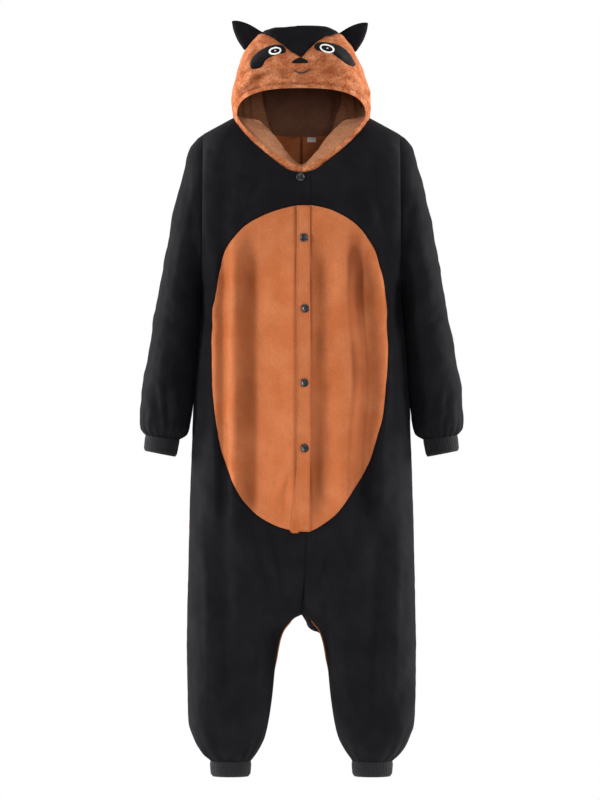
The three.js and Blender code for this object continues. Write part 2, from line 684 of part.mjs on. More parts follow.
function addPiece(name, solid, finish) {
  const { numProp, vertProperties, triVerts } = largest(solid).getMesh();
  const geometry = new THREE.BufferGeometry();
  const count = vertProperties.length / numProp;
  const positions = new Float32Array(count * 3);
  for (let i = 0; i < count; i += 1) {
    for (let axis = 0; axis < 3; axis += 1) positions[3 * i + axis] = vertProperties[numProp * i + axis];
  }
  geometry.setAttribute("position", new THREE.BufferAttribute(positions, 3));
  geometry.setIndex(new THREE.BufferAttribute(new Uint32Array(triVerts), 1));
  geometry.computeVertexNormals();
  const mesh = new THREE.Mesh(geometry, new THREE.MeshStandardMaterial(finish));
  mesh.name = name;
  group.add(mesh);
}

const SIDES = [
  { name: "right", side: -1 },
  { name: "left", side: 1 },
];

const ovalOutline = [
  ...OVAL.map((row) => ({ x: row.right, z: row.z })),
  ...[...OVAL].reverse().map((row) => ({ x: row.left, z: row.z })),
];

// The black fronts and the orange belly, cut from the same cloth surface
function addFronts() {
  const belly = prism(ovalOutline, -300, -20);
  const clearing = prism(grown(ovalOutline, SEAM), -300, -20);
  for (const { name, side } of SIDES) {
    const front = wall(bodyPanel(side, "front"), {});
    addPiece(`front_${name}`, front.subtract(clearing), BLACK);
    addPiece(`belly_${name}`, front.intersect(belly), ORANGE);
  }
}

// The placket lies on both fronts, so its two halves overlap at the closing before they are joined
function addPlacket() {
  const layers = { near: -SEAM - PLACKET_CLOTH, far: -SEAM };
  const halves = SIDES.map(({ side }) => wall(bodyPanel(side, "front", -SEAM / 2), layers));
  const cloth = halves[0].add(halves[1]);
  const strip = (topZ, endZ) => prism([
    { x: PLACKET.right, z: topZ },
    { x: PLACKET.left, z: topZ },
    { x: PLACKET.left, z: endZ },
    { x: PLACKET.right, z: endZ },
  ], -300, -60);
  addPiece("placket_top", cloth.intersect(strip(PLACKET.topZ + 12, PLACKET.joinZ)), BLACK);
  addPiece("placket", cloth.intersect(strip(PLACKET.joinZ - SEAM, PLACKET.endZ)), ORANGE);
  return cloth;
}

function addBacks() {
  for (const { name, side } of SIDES) {
    addPiece(`back_${name}`, wall(bodyPanel(side, "back"), {}), ORANGE);
  }
}

// Closed rings of a sleeve or a cuff
function ringGrid(rings, side, columns) {
  return rings.map((ring) => Array.from({ length: columns }, (unused, j) => (
    ringPoint(ring, side, Math.PI / 2 - (2 * Math.PI * j) / columns, -1)
  )));
}

function addSleeves() {
  for (const { name, side } of SIDES) {
    const grid = ringGrid(SLEEVE, side, SLEEVE_COLUMNS);
    const { outX, outZ, inX, inZ } = SLEEVE[Math.floor((SLEEVE.length - 1) / 2)];
    const middle = new THREE.Vector3((side * (outX + inX)) / 2, 0, (outZ + inZ) / 2);
    const normals = gridNormals(grid, true, () => middle);
    grid[0].forEach((point, j) => {
      const turn = Math.PI / 2 - (2 * Math.PI * j) / SLEEVE_COLUMNS;
      normals[0][j].copy(armholeNormal(side, turn, -1));
      point.x += side * SEAM * 0.6;
    });
    grid.forEach((ring, i) => {
      if (i < WRIST_GATHERS.fromRing || i === grid.length - 1) return;
      const share = smooth((i - WRIST_GATHERS.fromRing + 1) / 3);
      ring.forEach((point, j) => {
        const wave = Math.sin((Math.PI * WRIST_GATHERS.count * j) / SLEEVE_COLUMNS) ** 2;
        point.addScaledVector(normals[i][j], -share * wave * WRIST_GATHERS.depth);
      });
    });
    addPiece(`sleeve_${name}`, wall({ grid, normals }, { loop: true }), BLACK);
  }
}

function addCuffs() {
  for (const { name, side } of SIDES) {
    const wrist = ringGrid(SLEEVE_CUFF, side, CUFF_COLUMNS);
    const wristMiddle = new THREE.Vector3(side * 297, 0, -652);
    const wristNormals = gridNormals(wrist, true, () => wristMiddle);
    addPiece(
      `sleeve_cuff_${name}`,
      wall({ grid: wrist, normals: wristNormals }, { far: RIB_CLOTH, loop: true }),
      RIB_BLACK,
    );
    const ankle = ANKLE_CUFF.map((ring) => Array.from({ length: CUFF_COLUMNS }, (unused, j) => {
      const turn = (2 * Math.PI * j) / CUFF_COLUMNS;
      return new THREE.Vector3(
        side * ANKLE_CENTRE_X + ring.halfWidth * Math.cos(turn),
        ring.halfDepth * Math.sin(turn),
        ring.z,
      );
    }));
    const ankleNormals = gridNormals(ankle, true, () => new THREE.Vector3(side * ANKLE_CENTRE_X, 0, -1341));
    addPiece(
      `ankle_cuff_${name}`,
      wall({ grid: ankle, normals: ankleNormals }, { far: RIB_CLOTH, loop: true }),
      RIB_BLACK,
    );
  }
}

// The hood's grid. Its lowest row follows the neckline seam exactly as the body's rows cut it.
function hoodGrid(levels, perSpan) {
  const spread = (angles) => angles.slice(0, -1).flatMap((from, i) => (
    Array.from({ length: perSpan }, (unused, k) => {
      const share = k / perSpan;
      const to = angles[i + 1];
      return { angle: mix(from, to, share), from, to, share };
    })
  ));
  const front = spread([...NECK_ANGLES.front].reverse());
  const back = spread(NECK_ANGLES.back);
  const half = [...front, ...back];
  const mirrored = [...NECK_ANGLES.back].reverse();
  const otherBack = spread(mirrored).map((row) => ({ ...row, flip: true }));
  const otherFront = spread(NECK_ANGLES.front).map((row) => ({ ...row, flip: true }));
  const columns = [...half, ...otherBack, ...otherFront];
  const place = (column, point) => {
    if (column.flip) point.x *= -1;
    return point;
  };
  const grid = levels.map((level) => columns.map((column) => {
    const seam = neckPoint(column.from).lerp(neckPoint(column.to), column.share);
    if (level === 0) return place(column, seam.add(new THREE.Vector3(0, 0, SEAM * 1.3)));
    const low = neckPoint(column.angle).z;
    return place(column, hoodPoint(column.angle, mix(low, HOOD_TOP_Z, level)));
  }));
  const normals = gridNormals(grid, true, () => new THREE.Vector3(0, 0, 90));
  normals[levels.length - 1].forEach((normal) => normal.copy(UP));
  normals[0].forEach((normal) => normal.setZ(0).normalize());
  return { grid, normals };
}

// The face opening, seen from the front
function openingOutline(margin) {
  const points = [];
  const steps = 20;
  for (let i = 0; i < 2 * steps; i += 1) {
    const a = (Math.PI * i) / steps;
    const up = Math.sin(a) >= 0;
    const power = 2 / (up ? OPENING.archPower : OPENING.pointPower);
    const height = (up ? OPENING.topZ - OPENING.middleZ : OPENING.middleZ - OPENING.bottomZ) + margin;
    points.push({
      x: (OPENING.halfWidth + margin) * signedPower(Math.cos(a), power),
      z: OPENING.middleZ + height * signedPower(Math.sin(a), power),
    });
  }
  return points;
}

// The space that the hood's middle strip takes: a peak over the brow, then a band to the nape
function crownSpace(margin) {
  const peak = [
    ...CROWN_EDGE.map((point) => {
      const seen = nearer(point, FACE_DEPTH * (1 - Math.abs(point.x) / 100));
      return { x: seen.x, z: seen.z - margin };
    }),
    { x: CROWN_STRIP.topHalfWidth + margin, z: 300 },
    { x: -CROWN_STRIP.topHalfWidth - margin, z: 300 },
  ];
  peak[0].x = -CROWN_STRIP.topHalfWidth - margin;
  peak[CROWN_EDGE.length - 1].x = CROWN_STRIP.topHalfWidth + margin;
  const band = [
    { x: -CROWN_STRIP.napeHalfWidth - margin, z: -40 },
    { x: CROWN_STRIP.napeHalfWidth + margin, z: -40 },
    { x: CROWN_STRIP.topHalfWidth + margin, z: 220 },
    { x: CROWN_STRIP.topHalfWidth + margin, z: 300 },
    { x: -CROWN_STRIP.topHalfWidth - margin, z: 300 },
    { x: -CROWN_STRIP.topHalfWidth - margin, z: 220 },
  ];
  return prism(peak, -300, 0.5).add(prism(band, 0, 300));
}

function addHood() {
  const surface = hoodGrid(HOOD_LEVELS, 2);
  const slit = prism([
    { x: -0.5, z: -95 }, { x: 0.5, z: -95 }, { x: 0.5, z: -40 }, { x: -0.5, z: -40 },
  ], -300, -20);
  const cut = wall(surface, { loop: true }).subtract(prism(openingOutline(0), -300, -10)).subtract(slit);
  addPiece("hood_face", cut.subtract(crownSpace(SEAM)), ORANGE);
  addPiece("hood_crown", cut.intersect(crownSpace(0)), BLACK);
  return surface;
}

// The lining lies inside the hood, a little back from the brim
function addLining() {
  const surface = hoodGrid(HOOD_LEVELS, 1);
  const layers = { near: LINING_INSET, far: LINING_INSET + LINING_CLOTH, loop: true };
  const slit = prism([
    { x: -1.5, z: -95 }, { x: 1.5, z: -95 }, { x: 1.5, z: -40 }, { x: -1.5, z: -40 },
  ], -300, -20);
  const cloth = wall(surface, layers).subtract(prism(openingOutline(3), -300, -10)).subtract(slit);
  const strip = (margin) => [
    ...LINING_STRIP.map((row) => ({ x: row.halfWidth + margin, z: row.z })),
    ...[...LINING_STRIP].reverse().map((row) => ({ x: -row.halfWidth - margin, z: row.z })),
  ];
  const lowFront = prism([
    { x: -200, z: -120 }, { x: 200, z: -120 }, { x: 200, z: 60 }, { x: -200, z: 60 },
  ], -300, 0);
  const middle = prism(strip(0), -300, 300).subtract(lowFront);
  const clearing = prism(strip(SEAM), -300, 300).subtract(lowFront);
  addPiece("hood_lining_back", cloth.intersect(middle), LINING_BROWN);
  const sides = cloth.subtract(clearing);
  for (const { name, side } of SIDES) {
    const half = prism([
      { x: 0, z: -200 }, { x: side * 300, z: -200 }, { x: side * 300, z: 300 }, { x: 0, z: 300 },
    ], -300, 300);
    addPiece(`hood_lining_${name}`, sides.intersect(half), LINING_TAN);
  }
}

// Padded ears, seated on the hood
function addEars(surface) {
  const envelope = filled(surface.grid.map((row, i) => (
    row.map((point, j) => point.clone().addScaledVector(surface.normals[i][j], SEAM))
  )));
  const layers = [1, 0.93, 0.75, 0.45];
  for (const { name, side } of SIDES) {
    const place = (point, share, depth) => new THREE.Vector3(
      side * mix(EAR.centre.x, point.x, share),
      EAR.y + depth + EAR.lean * (mix(EAR.centre.z, point.z, share) - EAR.centre.z),
      mix(EAR.centre.z, point.z, share),
    );
    const height = (share) => EAR.halfThickness * Math.sqrt(1 - share ** 2.4) + 0.6;
    const rings = [
      ...[...layers].reverse().map((share) => EAR.outline.map((point) => place(point, share, -height(share)))),
      ...layers.map((share) => EAR.outline.map((point) => place(point, share, height(share)))),
    ];
    addPiece(`ear_${name}`, filled(rings).subtract(envelope), BLACK);
  }
}

const ellipseOutline = (x, z, halfWidth, halfHeight, steps) => (
  Array.from({ length: steps }, (unused, i) => {
    const a = (2 * Math.PI * i) / steps;
    return { x: x + halfWidth * Math.cos(a), z: z + halfHeight * Math.sin(a) };
  })
);

// Face pieces lie on the hood in layers, each moved out from the hood's own points
function addFace(surface) {
  const layer = (near, far) => wall(surface, { near: -near, far: -far, loop: true });
  const seen = (outline) => prism(outline.map((point) => nearer(point, FACE_DEPTH)), -300, -20);
  const patchTop = SEAM + 1.2;
  const ringTop = patchTop + SEAM + 1;
  const patches = layer(patchTop, SEAM);
  const rings = layer(ringTop, patchTop + SEAM);
  const pupils = layer(ringTop + SEAM + 1, ringTop + SEAM);
  for (const [name, outline] of Object.entries(EYE_PATCHES)) {
    addPiece(name, patches.intersect(seen(outline)), BLACK_FELT);
  }
  for (const eye of EYES) {
    const white = ellipseOutline(eye.x, eye.z, eye.halfWidth, eye.halfHeight, 18);
    addPiece(`eye_ring_${eye.side}`, rings.intersect(seen(white)), WHITE_FELT);
    const dark = ellipseOutline(eye.x, eye.z, PUPIL_RADIUS, PUPIL_RADIUS, 14);
    addPiece(`pupil_${eye.side}`, pupils.intersect(seen(dark)), BLACK_FELT);
  }
  const nose = ellipseOutline(NOSE.x, NOSE.z, NOSE.halfWidth, NOSE.halfHeight, 16);
  addPiece("nose", layer(SEAM + NOSE.height, SEAM).intersect(seen(nose)), BLACK_FELT);
}

// A raised rim round a lower middle. Each button is moved out until it just clears its cloth.
function addButtons(cloth) {
  const { radius, thickness, rim, segments } = BUTTON;
  const profile = [
    [radius - 1, 0], [radius, 1], [radius - 0.5, thickness],
    [radius - rim, thickness], [radius - rim - 0.8, thickness - 1],
  ];
  BUTTONS.forEach((place, index) => {
    const depthAt = (z) => tableValue(TRUNK, "z", "front", z);
    const slope = (depthAt(place.z + 15) - depthAt(place.z - 15)) / 30;
    const normal = new THREE.Vector3(0, -1, -slope).normalize();
    const seat = SEAM + PLACKET_CLOTH;
    const base = new THREE.Vector3(place.x, -depthAt(place.z), place.z).addScaledVector(normal, seat);
    const aside = new THREE.Vector3(1, 0, 0);
    const above = normal.clone().cross(aside).normalize();
    const put = (x, z, out) => base.clone().addScaledVector(aside, x).addScaledVector(above, z)
      .addScaledVector(normal, out);
    const rings = profile.map(([r, out]) => Array.from({ length: segments }, (unused, k) => {
      const a = (2 * Math.PI * k) / segments;
      return put(r * Math.cos(a), r * Math.sin(a), out);
    }));
    let solid = filled(rings);
    const step = normal.clone().multiplyScalar(SEAM / 2).toArray();
    while (solid.intersect(cloth).volume() > 0) solid = solid.translate(step);
    addPiece(`button_${index + 1}`, solid.translate(step), BUTTON_BLACK);
  });
}

function addTail() {
  const rings = TAIL.map((ring) => Array.from({ length: TAIL_COLUMNS }, (unused, j) => {
    const a = (2 * Math.PI * j) / TAIL_COLUMNS;
    const pitch = THREE.MathUtils.degToRad(ring.pitch);
    const forward = ring.radius * Math.sin(a);
    return new THREE.Vector3(
      ring.x + ring.radius * Math.cos(a),
      ring.y + forward * Math.cos(pitch),
      ring.z + forward * Math.sin(pitch),
    );
  }));
  addPiece("tail", filled(rings), BLACK);
}

// The blank woven label hangs inside the back, under the nape
function addLabel() {
  const cloth = wall(bodyPanel(1, "back"), { near: CLOTH + SEAM, far: CLOTH + SEAM + LABEL.cloth });
  const patch = prism([
    { x: LABEL.minX, z: LABEL.minZ }, { x: LABEL.maxX, z: LABEL.minZ },
    { x: LABEL.maxX, z: LABEL.maxZ }, { x: LABEL.minX, z: LABEL.maxZ },
  ], 0, 300);
  addPiece("neck_label", cloth.intersect(patch), LABEL_WHITE);
}

addFronts();
const placketCloth = addPlacket();
addBacks();
addSleeves();
addCuffs();
const hoodSurface = addHood();
addLining();
addEars(hoodSurface);
addFace(hoodSurface);
addButtons(placketCloth);
addTail();
addLabel();

export default group;
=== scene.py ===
# %% [markdown]
# # A raccoon onesie in fleece
# The suit is one long garment: black front halves with an orange-brown belly, orange-brown backs, black
# sleeves, a hood with a raccoon's face, padded ears and a stuffed tail. The CAD frame fixes its size and
# place. This lesson sews the visible suit over that frame, piece by piece, as a maker would cut it.

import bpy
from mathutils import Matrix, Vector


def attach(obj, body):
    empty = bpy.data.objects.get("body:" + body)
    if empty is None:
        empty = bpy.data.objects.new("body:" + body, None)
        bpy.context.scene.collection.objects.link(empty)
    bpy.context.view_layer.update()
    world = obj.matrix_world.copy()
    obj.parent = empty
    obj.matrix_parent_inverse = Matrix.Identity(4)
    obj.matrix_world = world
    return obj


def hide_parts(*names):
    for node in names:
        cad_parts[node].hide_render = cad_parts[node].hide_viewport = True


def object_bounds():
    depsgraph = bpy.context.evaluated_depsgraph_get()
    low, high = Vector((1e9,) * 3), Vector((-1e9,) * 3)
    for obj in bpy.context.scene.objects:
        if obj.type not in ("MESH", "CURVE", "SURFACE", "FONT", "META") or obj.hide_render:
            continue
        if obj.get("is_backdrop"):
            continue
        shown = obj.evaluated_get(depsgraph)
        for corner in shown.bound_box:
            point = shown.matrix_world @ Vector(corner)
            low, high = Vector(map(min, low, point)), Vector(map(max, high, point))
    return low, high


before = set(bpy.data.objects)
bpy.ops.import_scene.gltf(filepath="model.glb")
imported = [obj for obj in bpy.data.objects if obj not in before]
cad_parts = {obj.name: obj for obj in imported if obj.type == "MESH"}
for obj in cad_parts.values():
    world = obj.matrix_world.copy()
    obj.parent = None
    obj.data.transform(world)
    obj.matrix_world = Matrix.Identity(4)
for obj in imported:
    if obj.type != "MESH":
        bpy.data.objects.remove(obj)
cad_box = [list(corner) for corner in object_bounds()]

# %% [markdown]
# ## Units and smooth tables
# A pattern maker works from a table of measurements and draws a fair curve through them. The same is done
# here: each table holds a few sections in millimetres, and one function draws a cubic through its rows. It
# never overshoots them, so the cloth gets no bumps that the table doesn't ask for.

# %% Draw fair curves through tables
import math

import bpy
import numpy as np
from mathutils import Vector
from mathutils.bvhtree import BVHTree

MM = 0.001
# how many points a curve is drawn with before its length is divided
CURVE_POINTS = 97
# the distance between the points of a front and of a back
FRONT_STEP, BACK_STEP = 4.0, 5.5


def fair(where, values, at):
    """Values on a cubic through a table's rows, without overshoot."""
    order = np.argsort(where)
    where, values = np.asarray(where, float)[order], np.asarray(values, float)[order]
    slope = np.diff(values) / np.diff(where)
    tangent = np.concatenate([slope[:1], np.zeros(len(slope) - 1), slope[-1:]])
    both = slope[:-1] * slope[1:]
    tangent[1:-1] = np.where(both > 0, 2 * both / (slope[:-1] + slope[1:] + 1e-12), 0)
    at = np.clip(np.asarray(at, float), where[0], where[-1])
    k = np.clip(np.searchsorted(where, at, side="right") - 1, 0, len(slope) - 1)
    span = where[k + 1] - where[k]
    u = (at - where[k]) / span
    rise = u * u * (3 - 2 * u)
    bend = span * u * (1 - u) * ((1 - u) * tangent[k] - u * tangent[k + 1])
    return values[k] * (1 - rise) + values[k + 1] * rise + bend


def read(table, column, at):
    """One column of a table at the heights in its first column."""
    return fair([row[0] for row in table], [row[column] for row in table], at)


def blend(a, b, t):
    """The value that lies the share t of the way from a to b."""
    return a + (b - a) * t


def ease(t):
    """A soft step from 0 to 1 while t goes from 0 to 1."""
    t = np.clip(t, 0, 1)
    return t * t * (3 - 2 * t)


def power_of(value, power):
    """A power that keeps the value's sign."""
    return np.sign(value) * np.abs(value) ** power


# z, half width, depth to the front, depth to the back
TRUNK = [
    (45, 205, 100, 92), (-80, 205, 119, 105), (-131, 205, 127, 111), (-237, 207, 132, 116),
    (-318, 210, 134, 116), (-343, 211, 134, 116), (-449, 221, 136, 116), (-555, 228, 138, 118),
    (-661, 232, 139, 124), (-735, 234.5, 138, 130), (-809, 237, 136, 130), (-900, 239, 130, 126),
    (-1010, 241.5, 122, 118),
]
# z, inseam, side seam, half depth
LEG = [
    (-900, 0, 239, 113), (-1010, 0.2, 241.5, 109), (-1015, 12, 241.6, 108.5), (-1026, 25, 241.9, 107),
    (-1044, 39, 242.2, 105), (-1070, 47.6, 242.5, 101), (-1116, 55, 242, 95), (-1180, 61.4, 241, 87),
    (-1238, 70, 239, 79), (-1268, 77, 230, 70), (-1290, 87, 220, 60), (-1306, 97, 208, 50),
    (-1319.2, 107, 193, 37),
]
# z and x of the closing
CLOSING = [(45, 0), (-80, 0), (-220, 3), (-660, 5), (-840, 9), (-930, 7), (-1010, 0)]
UNDERARM_Z, CROTCH_TOP_Z, CROTCH_Z, LEG_END_Z = -318, -900, -1010, -1319.2
print("half width at the waist:", round(float(read(TRUNK, 1, -555)), 1), "mm")

# %% [markdown]
# ## The neck and the armhole
# The hood and the body share the neckline seam, and the sleeve and the body share the armhole. Each seam is
# one curve that both pieces are drawn from, so they meet all the way round without fitting.

# %% Draw the shared seams
# z, half width, depth to the front, depth to the back
HOOD = [
    (-90, 144, 119, 96), (0, 144, 130, 101), (42, 144, 138, 112), (64, 146, 143, 118),
    (95, 146, 148, 122), (129, 140, 141, 120), (161, 129, 127, 110), (186, 117, 109, 96),
    (205, 101, 90, 81), (222, 82, 68, 62), (233, 58, 44, 42), (238, 0, 0, 0),
]
HOOD_TOP_Z = 238
HOOD_ROUNDNESS = 2.7
HOOD_CORNER = 2 / HOOD_ROUNDNESS
# distance from the middle, and z
FRONT_NECKLINE = [(0, -80), (25, -74), (55, -54), (81, -34), (110, -6), (134, 25), (144, 42)]
NECK_HALF_WIDTH, NECK_SIDE_Z, NAPE_Z = 144, 42, 11

# outer x and z, inner x and z, half depth of each ring of a sleeve
SLEEVE = np.array([
    (207, 8, 210, -318, 88), (221, -3, 211.5, -319.6, 88), (235, -22, 212.1, -321, 88),
    (247, -62, 212.6, -322.6, 87), (264, -125, 213.2, -325, 85), (284, -225, 213.8, -330, 82),
    (304, -337, 216.6, -370, 79), (323, -445, 224.2, -458, 75), (340, -548, 231.6, -562, 71),
    (344, -596, 234.3, -610, 65), (342, -614, 240, -627, 56), (336, -624, 250, -635, 46),
    (329.4, -630, 258.6, -639, 35),
])


def hood_point(angle, z):
    """The hood's surface. Angle 0 is the front and 90 degrees the viewer's right."""
    depth = np.where(np.cos(angle) >= 0, read(HOOD, 2, z), read(HOOD, 3, z))
    x = read(HOOD, 1, z) * power_of(np.sin(angle), HOOD_CORNER)
    y = -depth * power_of(np.cos(angle), HOOD_CORNER)
    return np.stack([x, y, np.broadcast_to(z, np.shape(x))], axis=-1)


def neck_z(angle):
    """The height of the neckline seam all round."""
    x = np.abs(NECK_HALF_WIDTH * power_of(np.sin(angle), HOOD_CORNER))
    front = read(FRONT_NECKLINE, 1, x)
    back = NAPE_Z + (NECK_SIDE_Z - NAPE_Z) * (x / NECK_HALF_WIDTH) ** 2
    return np.where(np.cos(angle) >= 0, front, back)


def neck_point(angle):
    """A point of the neckline seam."""
    return hood_point(angle, neck_z(angle))


def run_of(points):
    """The length along a line of points, from its start to each of them."""
    steps = np.linalg.norm(np.diff(points, axis=0), axis=1)
    return np.concatenate([[0], np.cumsum(steps)])


def neck_at(share, centre):
    """The neckline from the shoulder, share 0, to the centre, share 1."""
    angles = np.linspace(math.pi / 2, centre, CURVE_POINTS)
    run = run_of(neck_point(angles))
    return neck_point(np.interp(share * run[-1], run, angles))


def ring_point(ring, side, turn, facing):
    """A point of a sleeve's ring. Turn is 90 degrees at the outer edge and -90 at the inner one."""
    out_x, out_z, in_x, in_z, depth = np.moveaxis(np.asarray(ring), -1, 0)
    reach = np.sin(turn)
    x = side * ((out_x + in_x) / 2 + (out_x - in_x) / 2 * reach)
    z = (out_z + in_z) / 2 + (out_z - in_z) / 2 * reach
    return np.stack([x, facing * depth * np.cos(turn), z], axis=-1)


half_neckline = neck_point(np.linspace(math.pi / 2, 0, CURVE_POINTS))
print("neckline, shoulder to centre front:", round(float(run_of(half_neckline)[-1])), "mm")

# %% [markdown]
# ## A sheet of cloth
# A garment piece could be pushed and pulled from a plain mesh, but then its edges would drift. Here each
# piece starts as a table with one row for each point: its place, the direction it faces, how far it lies
# from the closing and from the side seam, and how free it is to fold. Cuts and folds read that table.

# %% Keep cloth as a table of points
PLACE, FACING = slice(0, 3), slice(3, 6)
FROM_CENTRE, TO_SIDE, FREE = 6, 7, 8


def even_points(points, count):
    """Points at even steps along a line of points."""
    run = run_of(points)
    want = np.linspace(0, run[-1], count + 1)
    return np.stack([np.interp(want, run, points[:, axis]) for axis in range(3)], axis=1)


def grid_triangles(rows, columns, loop):
    """The triangles of a grid of points. A loop's last column is joined to its first."""
    i = np.arange(rows - 1)[:, None]
    j = np.arange(columns if loop else columns - 1)[None, :]
    a, b = i * columns + j, i * columns + (j + 1) % columns
    c, d = a + columns, b + columns
    return np.concatenate([np.stack([a, b, d], -1).reshape(-1, 3), np.stack([a, d, c], -1).reshape(-1, 3)])


def normals_of(points, triangles):
    """The direction each point faces, from the triangles round it."""
    a, b, c = (points[triangles[:, k]] for k in range(3))
    face = np.cross(b - a, c - a)
    total = np.stack([
        sum(np.bincount(triangles[:, k], face[:, axis], len(points)) for k in range(3)) for axis in range(3)
    ], axis=1)
    return total / np.maximum(np.linalg.norm(total, axis=1, keepdims=True), 1e-12)


def facing_out(points, triangles, outward):
    """The triangles, turned round if they face inwards. outward holds a direction for each point."""
    agree = np.sum(normals_of(points, triangles) * outward)
    return triangles if agree > 0 else triangles[:, ::-1]


def tidy(table, triangles):
    """Joins equal points and drops triangles that have shrunk to nothing."""
    keys = np.round(table[:, PLACE] * 1000).astype(np.int64)
    unused, first, known = np.unique(keys, axis=0, return_index=True, return_inverse=True)
    triangles = known.reshape(-1)[triangles]
    a, b, c = triangles.T
    triangles = triangles[(a != b) & (b != c) & (c != a)]
    used, triangles = np.unique(triangles, return_inverse=True)
    return table[first][used], triangles.reshape(-1, 3)


print("a table's columns: place, facing, from centre, to side, free")

# %% [markdown]
# ## Body panels
# A half of the front or the back runs from the shoulder to the ankle in one piece. Above the underarm its
# rows run from the neckline or the closing to the armhole. Below it they run level to the side seam, and
# past the crotch they wrap one leg. The folds of the CAD solid are repeated here, so the two agree.

# %% Lay out the body panels
NECK_STEPS = {"front": 4, "back": 3}
ARMHOLE_STEPS = 12
# lengths of cloth across a panel and down its armhole, which give its number of points
PANEL_ACROSS, YOKE_DOWN = 272, 400
BODY_ROUNDNESS, LEG_ROUNDNESS = 2.35, 2.2
# x and height of the front's wide folds, crest to valley, between the chest and the belly's end
FRONT_LIE = [
    (-212, 0), (-179, 7), (-162, -4), (-143, 5), (-92, -21), (-50, -10), (-9, 8), (4, 5), (50, -13), (62, -9),
    (91, 9), (134, -14), (165, 8), (190, 3), (212, 0),
]
# x, top, bottom, depth, width, lean of each fold
FRONT_FOLDS = [
    (-70, -850, -1260, -8, 20, 0.12), (-165, -800, -1290, -9, 18, 0.02), (-205, -700, -1280, 5, 16, 0),
    (75, -850, -1260, -8, 20, -0.14), (160, -820, -1290, -9, 18, -0.02), (205, -700, -1280, 5, 16, 0),
    (-150, -20, -330, -6, 18, -0.08), (152, -20, -330, -6, 18, 0.08),
]
BACK_FOLDS = [
    (-150, -120, -700, -8, 22, 0.04), (-85, -200, -760, 5, 24, 0.02), (90, -180, -740, -7, 24, -0.03),
    (155, -140, -690, 5, 22, -0.02), (-120, -820, -1270, -7, 22, 0.04), (125, -820, -1270, -7, 22, -0.04),
]
GATHERS_FROM_Z = -1225


def arch(share, roundness):
    """A rounded arch, 1 at share 0 and nought at share 1."""
    return np.maximum(0, 1 - share ** roundness) ** (1 / roundness)


def centre_x(z, name):
    """Where the two halves meet: the closing in front and the middle behind."""
    return read(CLOSING, 1, z) if name == "front" else 0 * z


def yoke_row(step, side, facing, name):
    """A row above the underarm, from the neckline or the closing to the armhole."""
    t = step / ARMHOLE_STEPS
    outer = ring_point(SLEEVE[0], side, math.pi / 2 - math.pi * t, facing)
    steps = NECK_STEPS[name]
    centre = 0 if name == "front" else math.pi
    if step <= steps:
        inner = neck_at(step / steps, centre) * (side, 1, 1)
    else:
        start = neck_at(1.0, centre)[2]
        z = blend(start, UNDERARM_Z, (step - steps) / (ARMHOLE_STEPS - steps))
        inner = np.array([centre_x(z, name), facing * read(TRUNK, 2 if name == "front" else 3, z), z])
    roundness = blend(2, BODY_ROUNDNESS, t)
    a = np.linspace(0, math.pi / 2, CURVE_POINTS)
    out, ahead = np.sin(a) ** (2 / roundness), np.abs(np.cos(a)) ** (2 / roundness)
    return np.stack([
        blend(inner[0], outer[0], out), blend(outer[1], inner[1], ahead), blend(inner[2], outer[2], out),
    ], axis=1)


def lower_row(z, side, facing, name):
    """A level row below the underarm, round the trunk or, past the crotch, round one leg."""
    down = (CROTCH_TOP_Z - z) / (CROTCH_TOP_Z - CROTCH_Z)
    trunk = 1 if down <= 0 else math.sqrt(max(0, 1 - down * down))
    across = (1 - np.cos(np.linspace(0, math.pi, CURVE_POINTS))) / 2
    deep = read(TRUNK, 2 if name == "front" else 3, z) * arch(across, BODY_ROUNDNESS)
    leg = read(LEG, 3, z) * arch(np.abs(2 * across - 1), LEG_ROUNDNESS)
    start = blend(read(LEG, 1, z), centre_x(z, name) * side, trunk)
    end = blend(read(LEG, 2, z), read(TRUNK, 1, z), trunk)
    x = side * blend(start, end, across)
    return np.stack([x, facing * blend(leg, deep, trunk), np.full_like(x, z)], axis=1)


def fold_depth(folds, x, z):
    """How far the long folds push the cloth out at each point."""
    total = np.zeros_like(x)
    for at, top, bottom, depth, width, lean in folds:
        along = np.clip((top - z) / (top - bottom), 0, 1)
        off = (x - at - lean * (top - z)) / width
        total += depth * np.exp(-off * off) * np.sin(math.pi * along) ** 0.7
    return total


def front_lie(x, z):
    """The wide folds that hang from the chest. Those on the viewer's right swing out at the waist."""
    swing = 12 * np.exp(-((z + 510) / 120) ** 2) * ease((x - 60) / 40)
    height = read(FRONT_LIE, 1, x - swing)
    return height * ease((-175 - z) / 130) * ease((z + 860) / 130)


